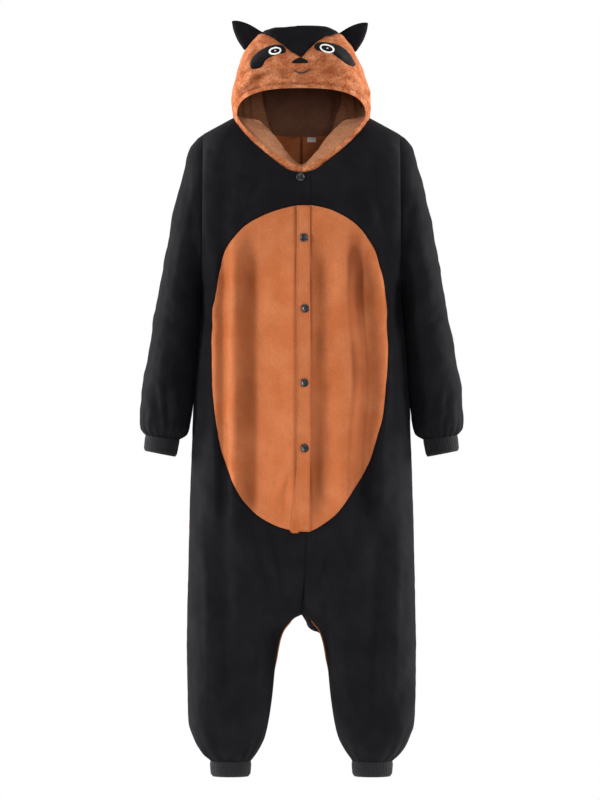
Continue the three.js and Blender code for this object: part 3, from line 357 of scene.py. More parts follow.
def body_panel(side, name, apart):
    """One half of the front or the back, with its long folds and points this far apart."""
    facing = -1 if name == "front" else 1
    columns = round(PANEL_ACROSS / apart)
    steps = np.linspace(0, ARMHOLE_STEPS, round(YOKE_DOWN / apart) + 1)
    levels = np.concatenate([
        np.linspace(UNDERARM_Z, CROTCH_Z, round((UNDERARM_Z - CROTCH_Z) / apart) + 1)[1:],
        np.linspace(CROTCH_Z, LEG_END_Z, round((CROTCH_Z - LEG_END_Z) / apart) + 1)[1:],
    ])
    rows = [yoke_row(step, side, facing, name) for step in steps]
    rows += [lower_row(z, side, facing, name) for z in levels]
    grid = np.stack([even_points(row, columns) for row in rows])
    # The rows turn sharply at the underarm, so they are smoothed within 60 mm of it.
    near_arm = np.exp(-((np.arange(len(rows)) - len(steps)) / (60 / apart)) ** 2)[:, None, None]
    for unused in range(round(1600 / apart ** 2)):
        middle = (grid[:-2] + 2 * grid[1:-1] + grid[2:]) / 4 - grid[1:-1]
        grid[1:-1, 1:-1] += (near_arm[1:-1] * middle)[:, 1:-1]
    length = np.array([run_of(row)[-1] for row in rows])[:, None]
    share = np.linspace(0, 1, columns + 1)[None, :]
    triangles = grid_triangles(len(rows), columns + 1, False)
    points = grid.reshape(-1, 3)
    outward = points - np.stack([np.full(len(points), side * 100.0), 0 * points[:, 0], points[:, 2]], axis=1)
    triangles = facing_out(points, triangles, outward)
    normals = normals_of(points, triangles).reshape(grid.shape)
    level = np.concatenate([steps, np.full(len(levels), ARMHOLE_STEPS)])
    # Points on a seam move only in the seam's own plane, so the pieces on both sides of it still meet.
    z = grid[:, 0, 2]
    normals[(level > NECK_STEPS[name]) & (z > CROTCH_Z), 0, 0] = 0
    normals[z < CROTCH_Z - 4, 0, 1] = 0
    normals[len(steps):, -1, 1] = 0
    normals /= np.linalg.norm(normals, axis=2, keepdims=True)
    free = ease(share / 0.16) * ease((1 - share) / 0.1) * ease(level[:, None] / 3)
    push = free * fold_depth(FRONT_FOLDS if name == "front" else BACK_FOLDS, grid[..., 0], grid[..., 2])
    if name == "front":
        push += ease((1 - share) / 0.1) * front_lie(grid[..., 0], grid[..., 2])
    # Above the ankle the cloth is gathered into the cuff.
    low = ease((GATHERS_FROM_Z - grid[..., 2]) / (GATHERS_FROM_Z - LEG_END_Z))
    wave = np.sin(math.pi * 7 * share + 0.9 * np.sin(5 * share + side)) ** 2
    push -= low * wave * 2.4 * ease((grid[..., 2] - LEG_END_Z) / 4 + 0.3)
    grid = grid + normals * push[..., None]
    table = np.concatenate([
        grid.reshape(-1, 3), normals.reshape(-1, 3), (share * length).reshape(-1, 1),
        ((1 - share) * length).reshape(-1, 1), free.reshape(-1, 1),
    ], axis=1)
    return table, triangles


table, triangles = body_panel(-1, "front", FRONT_STEP)
print("a front half:", len(table), "points,", len(triangles), "triangles")

# %% [markdown]
# ## Cutting cloth
# Scissors follow a chalk line, not the weave. The cut below does the same: each triangle that the line
# crosses is split exactly on it. Points that lie almost on the line are first drawn onto it, so that no
# needle-thin triangles are left, and both pieces of a cut share the same edge points.

# %% Cut along an outline
# A point this near to a cut counts as lying on it.
ON_THE_LINE = 1e-3


def distance_to(outline, x, z):
    """Distance from points to a closed outline seen from the front, below nought inside it."""
    a = np.asarray(outline, float)
    b = np.roll(a, -1, axis=0)
    edge = b - a
    best = np.full(x.shape, 1e9)
    inside = np.zeros(x.shape, bool)
    for (ax, az), (ex, ez), bz in zip(a, edge, b[:, 1]):
        t = np.clip(((x - ax) * ex + (z - az) * ez) / (ex * ex + ez * ez + 1e-12), 0, 1)
        best = np.minimum(best, (x - ax - t * ex) ** 2 + (z - az - t * ez) ** 2)
        inside ^= ((az > z) != (bz > z)) & (x < ax + (z - az) / (ez if ez else 1e-12) * ex)
    return np.where(inside, -1, 1) * np.sqrt(best)


def draw_onto(table, line, reach):
    """Slides points that lie within reach of a line along the cloth onto it."""
    table = table.copy()
    near = np.nonzero(np.abs(line(table)) < reach)[0]
    for unused in range(2):
        rows = table[near]
        off = line(rows)
        right, up = rows.copy(), rows.copy()
        right[:, 0] += 0.2
        up[:, 2] += 0.2
        slope = np.stack([line(right) - off, 0 * off, line(up) - off], axis=1) / 0.2
        facing = rows[:, FACING]
        slide = slope - facing * np.sum(slope * facing, axis=1, keepdims=True)
        reachable = np.sum(slide * slide, axis=1)
        move = np.where(reachable > 0.15, -off / np.maximum(reachable, 0.15), 0)
        table[near, PLACE] += slide * move[:, None]
    return table


def snapped(distance):
    """Distances to a cut, with those that hardly differ from it at nought."""
    return np.where(np.abs(distance) < ON_THE_LINE, 0, distance)


def cut(table, triangles, side):
    """The part where side is below nought. side holds one number for each point of the table."""
    kept = side <= 1e-5
    count = kept[triangles].sum(axis=1)
    extra, made, new = [], {}, []

    def crossing(a, b):
        key = (min(a, b), max(a, b))
        if key not in made:
            first, last = key
            t = side[first] / (side[first] - side[last])
            made[key] = len(table) + len(extra)
            extra.append(blend(table[first], table[last], min(max(t, 0), 1)))
        return made[key]

    for corners in triangles[(count > 0) & (count < 3)].tolist():
        flags = [kept[k] for k in corners]
        alone = flags.index(True) if sum(flags) == 1 else flags.index(False)
        a, b, c = corners[alone], corners[(alone + 1) % 3], corners[(alone + 2) % 3]
        ab, ca = crossing(a, b), crossing(c, a)
        new += [(a, ab, ca)] if sum(flags) == 1 else [(ab, b, c), (ab, c, ca)]
    if extra:
        table = np.concatenate([table, np.array(extra)])
        triangles = np.concatenate([triangles[count == 3], np.array(new)])
    else:
        triangles = triangles[count == 3]
    return tidy(table, triangles)


# z, right edge, left edge of the belly as seen from the front
OVAL = [
    (-147, 4, 6), (-149, -12, 27), (-161, -59, 70), (-191, -118, 118), (-217, -143, 139),
    (-242, -160, 154), (-267, -168, 162), (-316, -178, 174), (-392, -187, 180), (-442, -189, 182),
    (-518, -189, 178), (-592, -180, 170), (-643, -172, 156), (-693, -158, 139), (-743, -137, 109),
    (-792, -97, 74), (-818, -53, 40), (-830, -12, 18),
]
belly_levels = blend(OVAL[0][0], OVAL[-1][0], (1 - np.cos(np.linspace(0, math.pi, 70))) / 2)
belly_outline = np.concatenate([
    np.stack([read(OVAL, 1, belly_levels), belly_levels], axis=1),
    np.stack([read(OVAL, 2, belly_levels), belly_levels], axis=1)[::-1],
])
print("belly outline:", len(belly_outline), "points")

# %% [markdown]
# ## Folds and puckers
# Fleece hangs in soft, wide folds, and it puckers a little beside each seam, where the thread draws it in.
# A cloth simulation would need the wearer's body, which isn't part of the suit, so the folds are placed where
# the photograph shows them: each is a line on the cloth, with a width, a depth and soft ends.

# %% Shape folds, seams and the shade painted into seam grooves
WAVES = 14
# how dark the painted shade in a seam's groove is, as the attribute that the materials read
SEAM_PAINTED_SHADE = 0.75


def creases(lines, x, z):
    """Depth of straight creases from (x, z) to (x, z), each with a width and a depth."""
    total = np.zeros_like(x)
    for ax, az, bx, bz, width, depth in lines:
        ex, ez = bx - ax, bz - az
        length = math.hypot(ex, ez)
        along = ((x - ax) * ex + (z - az) * ez) / length ** 2
        off = ((x - ax) * ez - (z - az) * ex) / length
        ends = np.sin(math.pi * np.clip(along, 0, 1)) ** 0.8
        total += depth * ends * np.exp(-(off / width) ** 2)
    return total


def ripple(points, size, seed):
    """Soft unevenness of a given size, the same on every run."""
    random = np.random.default_rng(seed)
    total = np.zeros(len(points))
    for unused in range(WAVES):
        way = random.normal(size=3)
        way *= 2 * math.pi / size * random.uniform(0.6, 1.3) / np.linalg.norm(way)
        total += np.sin(points @ way + random.uniform(0, 7))
    return total / math.sqrt(WAVES / 2)


def seam_dip(distance, points, depth=1.3, width=3.2):
    """The groove of a seam, the soft roll beside it and its puckers."""
    distance = np.abs(distance)
    groove = -depth * np.exp(-(distance / width) ** 2)
    roll = 0.55 * depth * np.exp(-((distance - 8) / 4.5) ** 2)
    pucker = 0.22 * depth * ripple(points, 19, 5) * np.exp(-(distance / 13) ** 2)
    return groove + roll + pucker


def painted_seam_shade(distance, width):
    """Painted shade beside a seam, where shade falls into its groove."""
    return SEAM_PAINTED_SHADE * np.exp(-(distance / width) ** 2)


print("a seam dips", -round(float(seam_dip(np.zeros(1), np.zeros((1, 3)))[0]), 2), "mm at the origin")

# %% [markdown]
# ## From a table to a mesh
# Each panel is a single skin until now. A wall of real thickness is made by copying the skin inwards along
# its normals and closing the rim. That is what a Solidify modifier does, but done here the rim stays clean
# and sharp-edged. Each finished piece rides on the frame's one body and hides the CAD node it stands for.

# %% Make finished pieces
CLOTH = 2.0


def closed_between(points, inner, triangles):
    """A closed shell with an outer skin, an inner skin and a rim between them."""
    count = len(points)
    edges = np.concatenate([triangles[:, [0, 1]], triangles[:, [1, 2]], triangles[:, [2, 0]]])
    unused, first, times = np.unique(np.sort(edges, axis=1), axis=0, return_index=True, return_counts=True)
    a, b = edges[first[times == 1]].T
    walls = np.concatenate([np.stack([b, a, a + count], 1), np.stack([b, a + count, b + count], 1)])
    return np.concatenate([points, inner]), np.concatenate([triangles, triangles[:, ::-1] + count, walls])


def with_thickness(points, triangles, thickness):
    """A shell whose inner skin lies this far inside its outer one."""
    return closed_between(points, points - normals_of(points, triangles) * thickness, triangles)


def mesh_object(name, points, faces, material, sharp=55):
    """An object from points in millimetres, smooth except at edges sharper than so many degrees."""
    mesh = bpy.data.meshes.new(name)
    corners = [[int(corner) for corner in face] for face in faces]
    mesh.from_pydata((np.asarray(points) * MM).tolist(), [], corners)
    mesh.polygons.foreach_set("use_smooth", [True] * len(mesh.polygons))
    mesh.set_sharp_from_angle(angle=math.radians(sharp))
    mesh.materials.append(material)
    piece = bpy.data.objects.new(f"sewn_{name}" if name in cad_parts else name, mesh)
    bpy.context.scene.collection.objects.link(piece)
    return piece


def paint(piece, name, values):
    """Keeps a number for each point of a piece, for its material to read."""
    attribute = piece.data.attributes.new(name, "FLOAT", "POINT")
    attribute.data.foreach_set("value", np.asarray(values, np.float32))


def settle(piece):
    """The piece moves with the frame and stands for the CAD node that it is named for, which it hides."""
    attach(piece, "root")
    node = piece.name.removeprefix("sewn_")
    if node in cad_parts:
        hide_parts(node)


def cloth_object(name, points, triangles, material, thickness, seam=None):
    """A piece of cloth from its outer skin. seam holds the painted shade at each point."""
    shell, faces = with_thickness(points, triangles, thickness)
    piece = mesh_object(name, shell, faces, material)
    if seam is not None:
        paint(piece, "seam", np.concatenate([seam, seam]))
    return piece


def joined(parts):
    """The points and faces of several meshes as one mesh."""
    points, faces, start = [], [], 0
    for part_points, part_faces in parts:
        points.append(part_points)
        faces.append(part_faces + start)
        start += len(part_points)
    return np.concatenate(points), np.concatenate(faces)


def tree_of(*skins):
    """A search tree over skins of cloth, for laying other pieces on them."""
    points, faces = joined(skins)
    return BVHTree.FromPolygons(points.tolist(), faces.tolist())


print("cloth is", CLOTH, "mm thick")

# %% [markdown]
# ## Colour and the node helper
# Colours are matched to the photograph as sRGB hex values, and one function turns them to the linear
# values that Blender's shaders use. One small function adds a node, sets it and links it.

# %% Add nodes and colours


def colour(code):
    """An sRGB hex value in linear light, with an alpha of 1."""
    channels = [int(code[k:k + 2], 16) / 255 for k in (0, 2, 4)]
    return tuple(c / 12.92 if c <= 0.04045 else ((c + 0.055) / 1.055) ** 2.4 for c in channels) + (1,)


def add(tree, kind, settings=None, inputs=None):
    """One node. A key of inputs is a socket's identifier or name, and its value a socket or a plain value."""
    node = tree.nodes.new(kind)
    for key, value in (settings or {}).items():
        setattr(node, key, value)
    for key, value in (inputs or {}).items():
        into = next((s for s in node.inputs if s.identifier == key), None) or node.inputs[key]
        if isinstance(value, bpy.types.NodeSocket):
            tree.links.new(value, into)
        else:
            into.default_value = value
    return node


def mixed(tree, share, a, b):
    """A colour the share of the way from a to b."""
    mix = add(tree, "ShaderNodeMix", {"data_type": "RGBA"}, {
        "Factor_Float": share, "A_Color": a, "B_Color": b,
    })
    # A Mix node has an output for each kind of value, and the third is its colour.
    return mix.outputs[2]


def new_material(name):
    """An empty material and its tree of nodes."""
    material = bpy.data.materials.new(name)
    material.use_nodes = True
    material.node_tree.nodes.clear()
    return material, material.node_tree


def finish_material(tree, shader):
    """Links a shader to the output of its material."""
    add(tree, "ShaderNodeOutputMaterial", inputs={"Surface": shader.outputs[0]})


def per_metre(mm):
    """A texture's scale for a pattern of about so many millimetres."""
    return 1000 / mm


def bands(mm):
    """A wave texture's scale for bands so many millimetres apart: at scale 1 it turns 20 radians a metre."""
    return 2 * math.pi / 20 * per_metre(mm)


print("belly colour in linear light:", [round(c, 3) for c in colour("b6663b")[:3]])

# %% [markdown]
# ## Fleece
# The suit is polyester fleece: a knit brushed on both sides until its fibres stand up as a short pile. The
# eye reads it by its matt face, a faint pale sheen at grazing angles, small tufts of about 2.5 mm, and
# broader patches where the pile has been stroked another way. One function mixes each colour of it.

# %% Mix the fleeces


def fleece(name, shade, main, light, tuft_mm, sheen, speckle, stroke_mm=55):
    """Brushed polyester fleece: matt, tufted, with painted shade where the piece's seam attribute says so."""
    material, tree = new_material(name)
    place = add(tree, "ShaderNodeTexCoord").outputs["Object"]
    stroked = add(tree, "ShaderNodeTexNoise", inputs={
        "Vector": place, "Scale": per_metre(stroke_mm), "Detail": 3.0, "Roughness": 0.55,
    })
    broad = add(tree, "ShaderNodeMapRange", inputs={
        "Value": stroked.outputs["Fac"], "From Min": 0.35, "From Max": 0.68,
    })
    tone = mixed(tree, broad.outputs[0], colour(main), colour(light))
    tufts = add(tree, "ShaderNodeTexNoise", inputs={
        "Vector": place, "Scale": per_metre(tuft_mm), "Detail": 3.0, "Roughness": 0.65,
    })
    # The hollows between the tufts are darker: partly the pile's own speckle, partly painted shade.
    tuft_speckle_and_shade = add(tree, "ShaderNodeMapRange", inputs={
        "Value": tufts.outputs["Fac"], "From Min": 0.62, "From Max": 0.38, "To Max": speckle,
    })
    pile = mixed(tree, tuft_speckle_and_shade.outputs[0], tone, colour(shade))
    # Painted shade: the seam attribute mixes the colour towards the shade colour in grooves and on fold
    # slopes.
    seam = add(tree, "ShaderNodeAttribute", {"attribute_name": "seam"})
    sewn = mixed(tree, seam.outputs["Fac"], pile, colour(shade))
    bump = add(tree, "ShaderNodeBump", inputs={
        "Height": tufts.outputs["Fac"], "Strength": 0.4, "Distance": tuft_mm * 0.4 * MM,
    })
    finish_material(tree, add(tree, "ShaderNodeBsdfPrincipled", inputs={
        "Base Color": sewn, "Roughness": 0.95, "Specular IOR Level": 0.12,
        "Sheen Weight": sheen, "Sheen Roughness": 0.4, "Sheen Tint": colour(light),
        "Normal": bump.outputs["Normal"],
    }))
    return material


BLACK_FLEECE = fleece("black_brushed_fleece", "050406", "0f0e11", "161519", 2.6, 0.6, 0.3)
ORANGE_FLEECE = fleece("orange_brushed_fleece", "5e2a10", "b6663b", "c1744a", 2.2, 0.1, 0.24)
# The same cloth as the belly's, but handled more, so its pile has clumped.
CLUMPED_FLEECE = fleece("clumped_orange_fleece", "682e13", "aa5f38", "d08a61", 4.6, 0.08, 0.55, 24)
# Painted shade: a darker brown copy of the tan lining, for the strip at the back of the hood.
LINING_IN_PAINTED_SHADE = fleece("lining_fleece_in_painted_shade", "3a2117", "7c5442", "8a604c", 2.6, 0.1, 0.3)
LINING_TAN = fleece("tan_lining_fleece", "5d3423", "ac7252", "c08864", 3.4, 0.1, 0.35)
print("fleeces:", BLACK_FLEECE.name, ORANGE_FLEECE.name, LINING_IN_PAINTED_SHADE.name, LINING_TAN.name)

# %% [markdown]
# ## Fronts and belly
# The black fronts and the orange belly are cut from one surface along the oval, so they lie edge to edge as
# sewn pieces do. The wide folds of the belly came with the panel, and the finer creases go on after the cut:
# at the shoulders, the sides and the legs, and a V of them in the black below the oval. Where a wide fold
# turns away from the key light, painted shade darkens it. A number at each point keeps that for the material.

# %% Cut and shape the fronts
FRONT_CREASES = [
    (-11, -650, -58, -790, 8, 5), (-26, -690, -36, -815, 6, -4), (-176, -290, -172, -440, 5, 2.5),
    (-60, -838, -24, -990, 8, -5), (-30, -842, -8, -960, 8, 4.5), (0, -840, -6, -940, 7, -3),
    (60, -846, 22, -1000, 8, -5), (88, -820, 50, -980, 9, 3.5), (-110, -800, -62, -960, 10, -4),
    (118, -800, 84, -960, 10, -4), (-198, -330, -160, -420, 9, 2.5), (-208, -360, -196, -640, 9, -3),
    (200, -350, 192, -620, 9, -3), (200, -330, 166, -410, 9, 2.5), (-120, -90, -176, -250, 13, 4),
    (-80, -80, -128, -190, 12, -4), (86, -80, 132, -200, 12, -4), (124, -90, 176, -250, 13, 4),
    (-128, -1010, -120, -1240, 12, -5), (-180, -980, -176, -1250, 11, 4), (-90, -1040, -100, -1230, 9, 4),
    (118, -1000, 126, -1240, 12, -5), (176, -980, 172, -1250, 11, 4), (88, -1040, 100, -1230, 9, 4),
    (-216, -860, -206, -1230, 9, -3), (218, -860, 208, -1230, 9, -3),
]
PLACKET_RIGHT, PLACKET_LEFT, PLACKET_JOIN_Z, PLACKET_END_Z = -9.8, 18.2, -148, -829
# just outside both edges of the placket, where the cloth below it sinks
PLACKET_EDGE_X, PLACKET_SEAM_X = -11.6, 19.6
# the slopes at which a fold's painted shade is full, on the belly and on the hood
PAINTED_SHADE_SLOPE, HOOD_PAINTED_SHADE_SLOPE = 0.34, 0.27
# stands for a seam that is out of reach
FAR = 99


def belly_distance(table):
    """Distance to the belly's edge, below nought on the belly."""
    return distance_to(belly_outline, table[:, 0], table[:, 2])


def shape_front(table, part):
    """Outer points of the front cloth, and the painted shade at each of them."""
    points = table[:, PLACE]
    x, z = points[:, 0], points[:, 2]
    to_belly = np.where(z < -100, belly_distance(table), FAR)
    free = table[:, FREE]
    push = free * creases(FRONT_CREASES, x, z)
    push += free * (0.9 * ripple(points, 90, 1) + 0.35 * ripple(points, 30, 2))
    push += ease((z - LEG_END_Z) / 12) * ease(table[:, TO_SIDE] / 3) * seam_dip(to_belly, points, 1.4)
    to_placket = np.minimum(np.abs(x - PLACKET_SEAM_X), np.abs(x - PLACKET_EDGE_X))
    to_placket = np.where((z < PLACKET_JOIN_Z - 2) & (z > PLACKET_END_Z), to_placket, FAR)
    push -= 1.8 * np.exp(-(to_placket / 2.6) ** 2)
    push += ease(table[:, TO_SIDE] / 2) * seam_dip(table[:, TO_SIDE], points, 0.8) * (z < 0)
    # The belly's own edge stays light, as in the photograph, and the black beside it is dark.
    to_seam = np.abs(to_belly) if part == "front" else 0 * x + 6
    crotch_seam = np.where(z < PLACKET_END_Z - 7, table[:, FROM_CENTRE] + 0.4, FAR)
    # Painted shade darkens the grooves of the seams, the placket's edges and the crotch seam, and the black
    # beside the belly.
    nearest = np.minimum.reduce([to_seam, table[:, TO_SIDE], to_placket, crotch_seam])
    # The slope of the wide folds, averaged over a few reaches on both sides of the point, so it is soft.
    reaches = (3, 6, 10, 16)
    fall = sum(front_lie(x - reach, z) - front_lie(x + reach, z) for reach in reaches) / (2 * sum(reaches))
    # Painted shade: fold slopes that fall to the viewer's right, away from the key light, are darkened in
    # colour.
    strength = 0.42 + 0.24 * ease((x - 80) / 20) * ease((z + 560) / 80)
    painted_fold_shade = strength * np.clip(fall / PAINTED_SHADE_SLOPE, 0, 1)
    painted_fold_shade *= 1 + 0.15 * ripple(points * (1, 1, 0.4), 60, 3)
    skin = points + table[:, FACING] * push[:, None]
    return skin, np.maximum(painted_seam_shade(nearest, 2.2), painted_fold_shade)


front_skins = []
for side, name in ((-1, "right"), (1, "left")):
    table, triangles = body_panel(side, "front", FRONT_STEP)
    table = draw_onto(table, belly_distance, 1.1)
    outside = snapped(belly_distance(table))
    for part, sign, material in (("front", -1, BLACK_FLEECE), ("belly", 1, ORANGE_FLEECE)):
        part_table, part_triangles = cut(table, triangles, sign * outside)
        skin, seam = shape_front(part_table, part)
        front_skins.append((skin, part_triangles))
        piece = cloth_object(f"{part}_{name}", skin, part_triangles, material, CLOTH, seam)
        settle(piece)
        print(piece.name, len(piece.data.polygons), "triangles")
front_tree = tree_of(*front_skins)

# %% [markdown]
# ## Backs
# The two backs meet in a centre-back seam and run from shoulder to ankle. They hang more plainly than the
# fronts, with a few long folds from the shoulder blades and creases under the seat, where the tail pulls.

# %% Shape the backs
BACK_CREASES = [
    (-60, -120, -70, -560, 14, -2.5), (62, -140, 74, -560, 14, -2.5), (-178, -200, -168, -640, 11, 2.5),
    (178, -200, 170, -640, 11, 2.5), (-30, -760, -110, -900, 12, -2.5), (34, -760, 112, -900, 12, -2.5),
    (-150, -900, -140, -1240, 13, 2.5), (150, -900, 142, -1240, 13, 2.5), (-84, -960, -96, -1240, 12, -2.5),
    (86, -960, 98, -1240, 12, -2.5), (-120, -40, -60, -150, 14, -2), (120, -40, 60, -150, 14, -2),
]
back_skins = {}
for side, name in ((-1, "right"), (1, "left")):
    table, triangles = body_panel(side, "back", BACK_STEP)
    points = table[:, PLACE]
    x, z = points[:, 0], points[:, 2]
    free = table[:, FREE]
    push = free * (creases(BACK_CREASES, x, z) + 1.2 * ripple(points, 110, 11) + 0.4 * ripple(points, 34, 12))
    above_legs = z > CROTCH_Z
    push += seam_dip(table[:, FROM_CENTRE], points, 1.3) * above_legs * ease((NAPE_Z - 8 - z) / 12)
    # At the top of the inner leg the orange cloth rolls forward, and its rim shows from the front.
    push += 2.4 * np.exp(-(table[:, FROM_CENTRE] / 12) ** 2) * ease((-1018 - z) / 10) * ease((z + 1130) / 30)
    push += ease(table[:, TO_SIDE] / 2) * seam_dip(table[:, TO_SIDE], points, 1.0) * (z < 0)
    skin = points + table[:, FACING] * push[:, None]
    # Painted shade in the grooves of the side and centre-back seams.
    nearest = np.minimum(table[:, TO_SIDE], np.where(above_legs, table[:, FROM_CENTRE], FAR))
    seam = painted_seam_shade(nearest, 2.4)
    back_skins[name] = (skin, triangles)
    piece = cloth_object(f"back_{name}", skin, triangles, ORANGE_FLEECE, CLOTH, seam)
    settle(piece)
    print(piece.name, len(piece.data.polygons), "triangles")

# %% [markdown]
# ## Sleeves
# A sleeve is one tube of cloth, set into the armhole and gathered into the wrist cuff. It is drawn from the
# same rings as the CAD solid. Its folds run slantwise at the elbow and lengthwise above the wrist, where
# the gathers start.

# %% Shape the sleeves
SLEEVE_CREASES = [
    (268, -300, 226, -352, 11, -3), (276, -330, 232, -392, 11, 2.4), (312, -360, 262, -402, 12, -2),
    (300, -420, 246, -470, 12, -2.6), (318, -450, 268, -505, 12, 2), (284, -500, 280, -620, 8, -2.6),
    (310, -510, 300, -622, 8, -2.6), (262, -520, 266, -624, 7, 2), (296, -520, 290, -624, 7, 2.4),
    (330, -520, 316, -620, 8, 2), (240, -70, 218, -280, 12, -3), (262, -150, 246, -330, 13, 2.4),
]


def sleeve_rings(count):
    """Sections at even steps down a sleeve, on fair curves through its rings."""
    run = run_of((SLEEVE[:, 0:2] + SLEEVE[:, 2:4]) / 2)
    at = np.linspace(0, run[-1], count)
    return np.stack([fair(run, SLEEVE[:, k], at) for k in range(5)], axis=1), run[-1] - at


ring_rows, ring_columns = 118, 76
for side, name in ((-1, "right"), (1, "left")):
    rings, to_wrist = sleeve_rings(ring_rows)
    turn = math.pi / 2 - np.linspace(0, 2 * math.pi, ring_columns, endpoint=False)
    grid = ring_point(rings[:, None, :], side, turn[None, :], -1)
    centre = ring_point(rings[:, None, :], side, 0, 0)
    points = grid.reshape(-1, 3)
    triangles = grid_triangles(ring_rows, ring_columns, True)
    triangles = facing_out(points, triangles, (grid - centre).reshape(-1, 3))
    normals = normals_of(points, triangles)
    wrist = np.repeat(to_wrist, ring_columns)
    armhole = np.repeat(to_wrist[0] - to_wrist, ring_columns)
    around = np.tile(turn, ring_rows)
    gathers = np.sin(8.5 * around + 0.8 * np.sin(2 * around)) ** 2
    gathers *= ease(1 - wrist / 75) * ease(wrist / 5 + 0.2)
    x = points[:, 0] * side
    front = np.where(points[:, 1] < 0, 1.0, 0.7)
    push = -2.6 * gathers + front * creases(SLEEVE_CREASES, x, points[:, 2]) * ease(wrist / 20)
    push += (1.0 * ripple(points, 80, 21 + side) + 0.4 * ripple(points, 26, 23)) * ease(wrist / 25)
    push *= ease(armhole / 22)
    # The sleeve's inner side rests against the body, so it is plain there and stands out to it.
    lean = np.angle(np.exp(1j * (around + math.pi / 2)))
    beside_body = np.exp(-(lean / 0.5) ** 2) * ease((armhole - 1) / 30) * ease((wrist - 30) / 60)
    push = push * (1 - beside_body) + 3.3 * beside_body
    push += ease(armhole / 2) * seam_dip(armhole, points, 1.0)
    skin = points + normals * push[:, None]
    # Painted shade in the grooves of the wrist and armhole seams.
    seam = painted_seam_shade(np.minimum(wrist, armhole), 2.6)
    piece = cloth_object(f"sleeve_{name}", skin, triangles, BLACK_FLEECE, CLOTH, seam)
    settle(piece)
    print(piece.name, len(piece.data.polygons), "triangles")

# %% [markdown]
# ## Rib cuffs
# Cuffs are knitted in rib: columns of plain stitches stand up between columns of purl that sink back. A rib
# repeats all round, so Geometry Nodes make it. The tree reads how far round each point lies and pushes the
# tube out in rounded ridges. Its sizes are named inputs, set here from millimetres.

# %% Knit the cuffs
RIB_KNIT, tree = new_material("black_rib_knit")
# A 1x1 rib in cotton and elastane: matt, with rows of stitches across each ridge, drawn 3.35 mm apart.
place = add(tree, "ShaderNodeTexCoord").outputs["Object"]
loops = add(tree, "ShaderNodeTexWave", {"bands_direction": "Z"}, {
    "Vector": place, "Scale": bands(3.351), "Distortion": 1.5, "Detail": 1.0,
})
fluff = add(tree, "ShaderNodeTexNoise", inputs={"Vector": place, "Scale": per_metre(3), "Detail": 3.0})
knit = mixed(tree, fluff.outputs["Fac"], colour("131315"), colour("232326"))
rib_bump = add(tree, "ShaderNodeBump", inputs={
    "Height": loops.outputs["Fac"], "Strength": 0.4, "Distance": 0.5 * MM,
})
finish_material(tree, add(tree, "ShaderNodeBsdfPrincipled", inputs={
    "Base Color": knit, "Roughness": 0.88, "Specular IOR Level": 0.2,
    "Sheen Weight": 0.2, "Sheen Roughness": 0.4, "Normal": rib_bump.outputs["Normal"],
}))


def tree_inputs(name, sockets):
    """An empty Geometry Nodes tree with a mesh going in and out and the named inputs."""
    tree = bpy.data.node_groups.new(name, "GeometryNodeTree")
    tree.interface.new_socket("Geometry", in_out="INPUT", socket_type="NodeSocketGeometry")
    for label, kind in sockets:
        tree.interface.new_socket(label, in_out="INPUT", socket_type=kind)
    tree.interface.new_socket("Geometry", in_out="OUTPUT", socket_type="NodeSocketGeometry")
    return tree, tree.nodes.new("NodeGroupInput")


def grown_mesh(source, tree, values):
    """Gives an object the plain mesh that a Geometry Nodes tree makes of it, and removes the modifier."""
    modifier = source.modifiers.new("growth", "NODES")
    modifier.node_group = tree
    for item in tree.interface.items_tree:
        if item.item_type == "SOCKET" and item.in_out == "INPUT" and item.name in values:
            modifier[item.identifier] = values[item.name]
    bpy.context.view_layer.update()
    graph = bpy.context.evaluated_depsgraph_get()
    mesh = bpy.data.meshes.new_from_object(source.evaluated_get(graph), depsgraph=graph)
    source.modifiers.remove(modifier)
    old = source.data
    source.data = mesh
    bpy.data.meshes.remove(old)


rib_tree, given = tree_inputs("ribs_round_a_tube", [
    ("Ribs", "NodeSocketFloat"), ("Height", "NodeSocketFloat"), ("Material", "NodeSocketMaterial"),
])
share_round = add(rib_tree, "GeometryNodeInputNamedAttribute", {"data_type": "FLOAT"}, {"Name": "around"})
half_waves = add(rib_tree, "ShaderNodeMath", {"operation": "MULTIPLY"}, {
    "Value": share_round.outputs["Attribute"], "Value_001": given.outputs["Ribs"],
})
angle = add(rib_tree, "ShaderNodeMath", {"operation": "MULTIPLY"}, {
    "Value": half_waves.outputs[0], "Value_001": math.pi,
})
wave = add(rib_tree, "ShaderNodeMath", {"operation": "SINE"}, {"Value": angle.outputs[0]})
ridge = add(rib_tree, "ShaderNodeMath", {"operation": "ABSOLUTE"}, {"Value": wave.outputs[0]})
height = add(rib_tree, "ShaderNodeMath", {"operation": "MULTIPLY"}, {
    "Value": ridge.outputs[0], "Value_001": given.outputs["Height"],
})
away = add(rib_tree, "ShaderNodeVectorMath", {"operation": "SCALE"}, {
    "Vector": add(rib_tree, "GeometryNodeInputNormal").outputs[0], "Scale": height.outputs[0],
})
pushed = add(rib_tree, "GeometryNodeSetPosition", inputs={
    "Geometry": given.outputs["Geometry"], "Offset": away.outputs["Vector"],
})
one_mesh = add(rib_tree, "GeometryNodeRealizeInstances", inputs={"Geometry": pushed.outputs["Geometry"]})
dressed = add(rib_tree, "GeometryNodeSetMaterial", inputs={
    "Geometry": one_mesh.outputs["Geometry"], "Material": given.outputs["Material"],
})
add(rib_tree, "NodeGroupOutput", inputs={"Geometry": dressed.outputs["Geometry"]})

RIB_SPACING, RIB_HEIGHT, POINTS_A_RIB = 4.2, 1.0, 6
CUFF_ROUND, RIB_THICKNESS = 226, 2.5
LEG_MIDDLE_X = 150
SLEEVE_CUFF = np.array([
    (329.6, -630.4, 258.8, -639.4, 35), (331, -637, 259.6, -646, 35.5),
    (332.8, -657, 264.2, -669, 34.8), (330.6, -662, 267.6, -674.4, 32),
])
ANKLE_CUFF = np.array([(-1319.5, 42, 36), (-1326, 43, 36.5), (-1345, 41.5, 35), (-1351, 37.5, 32)])


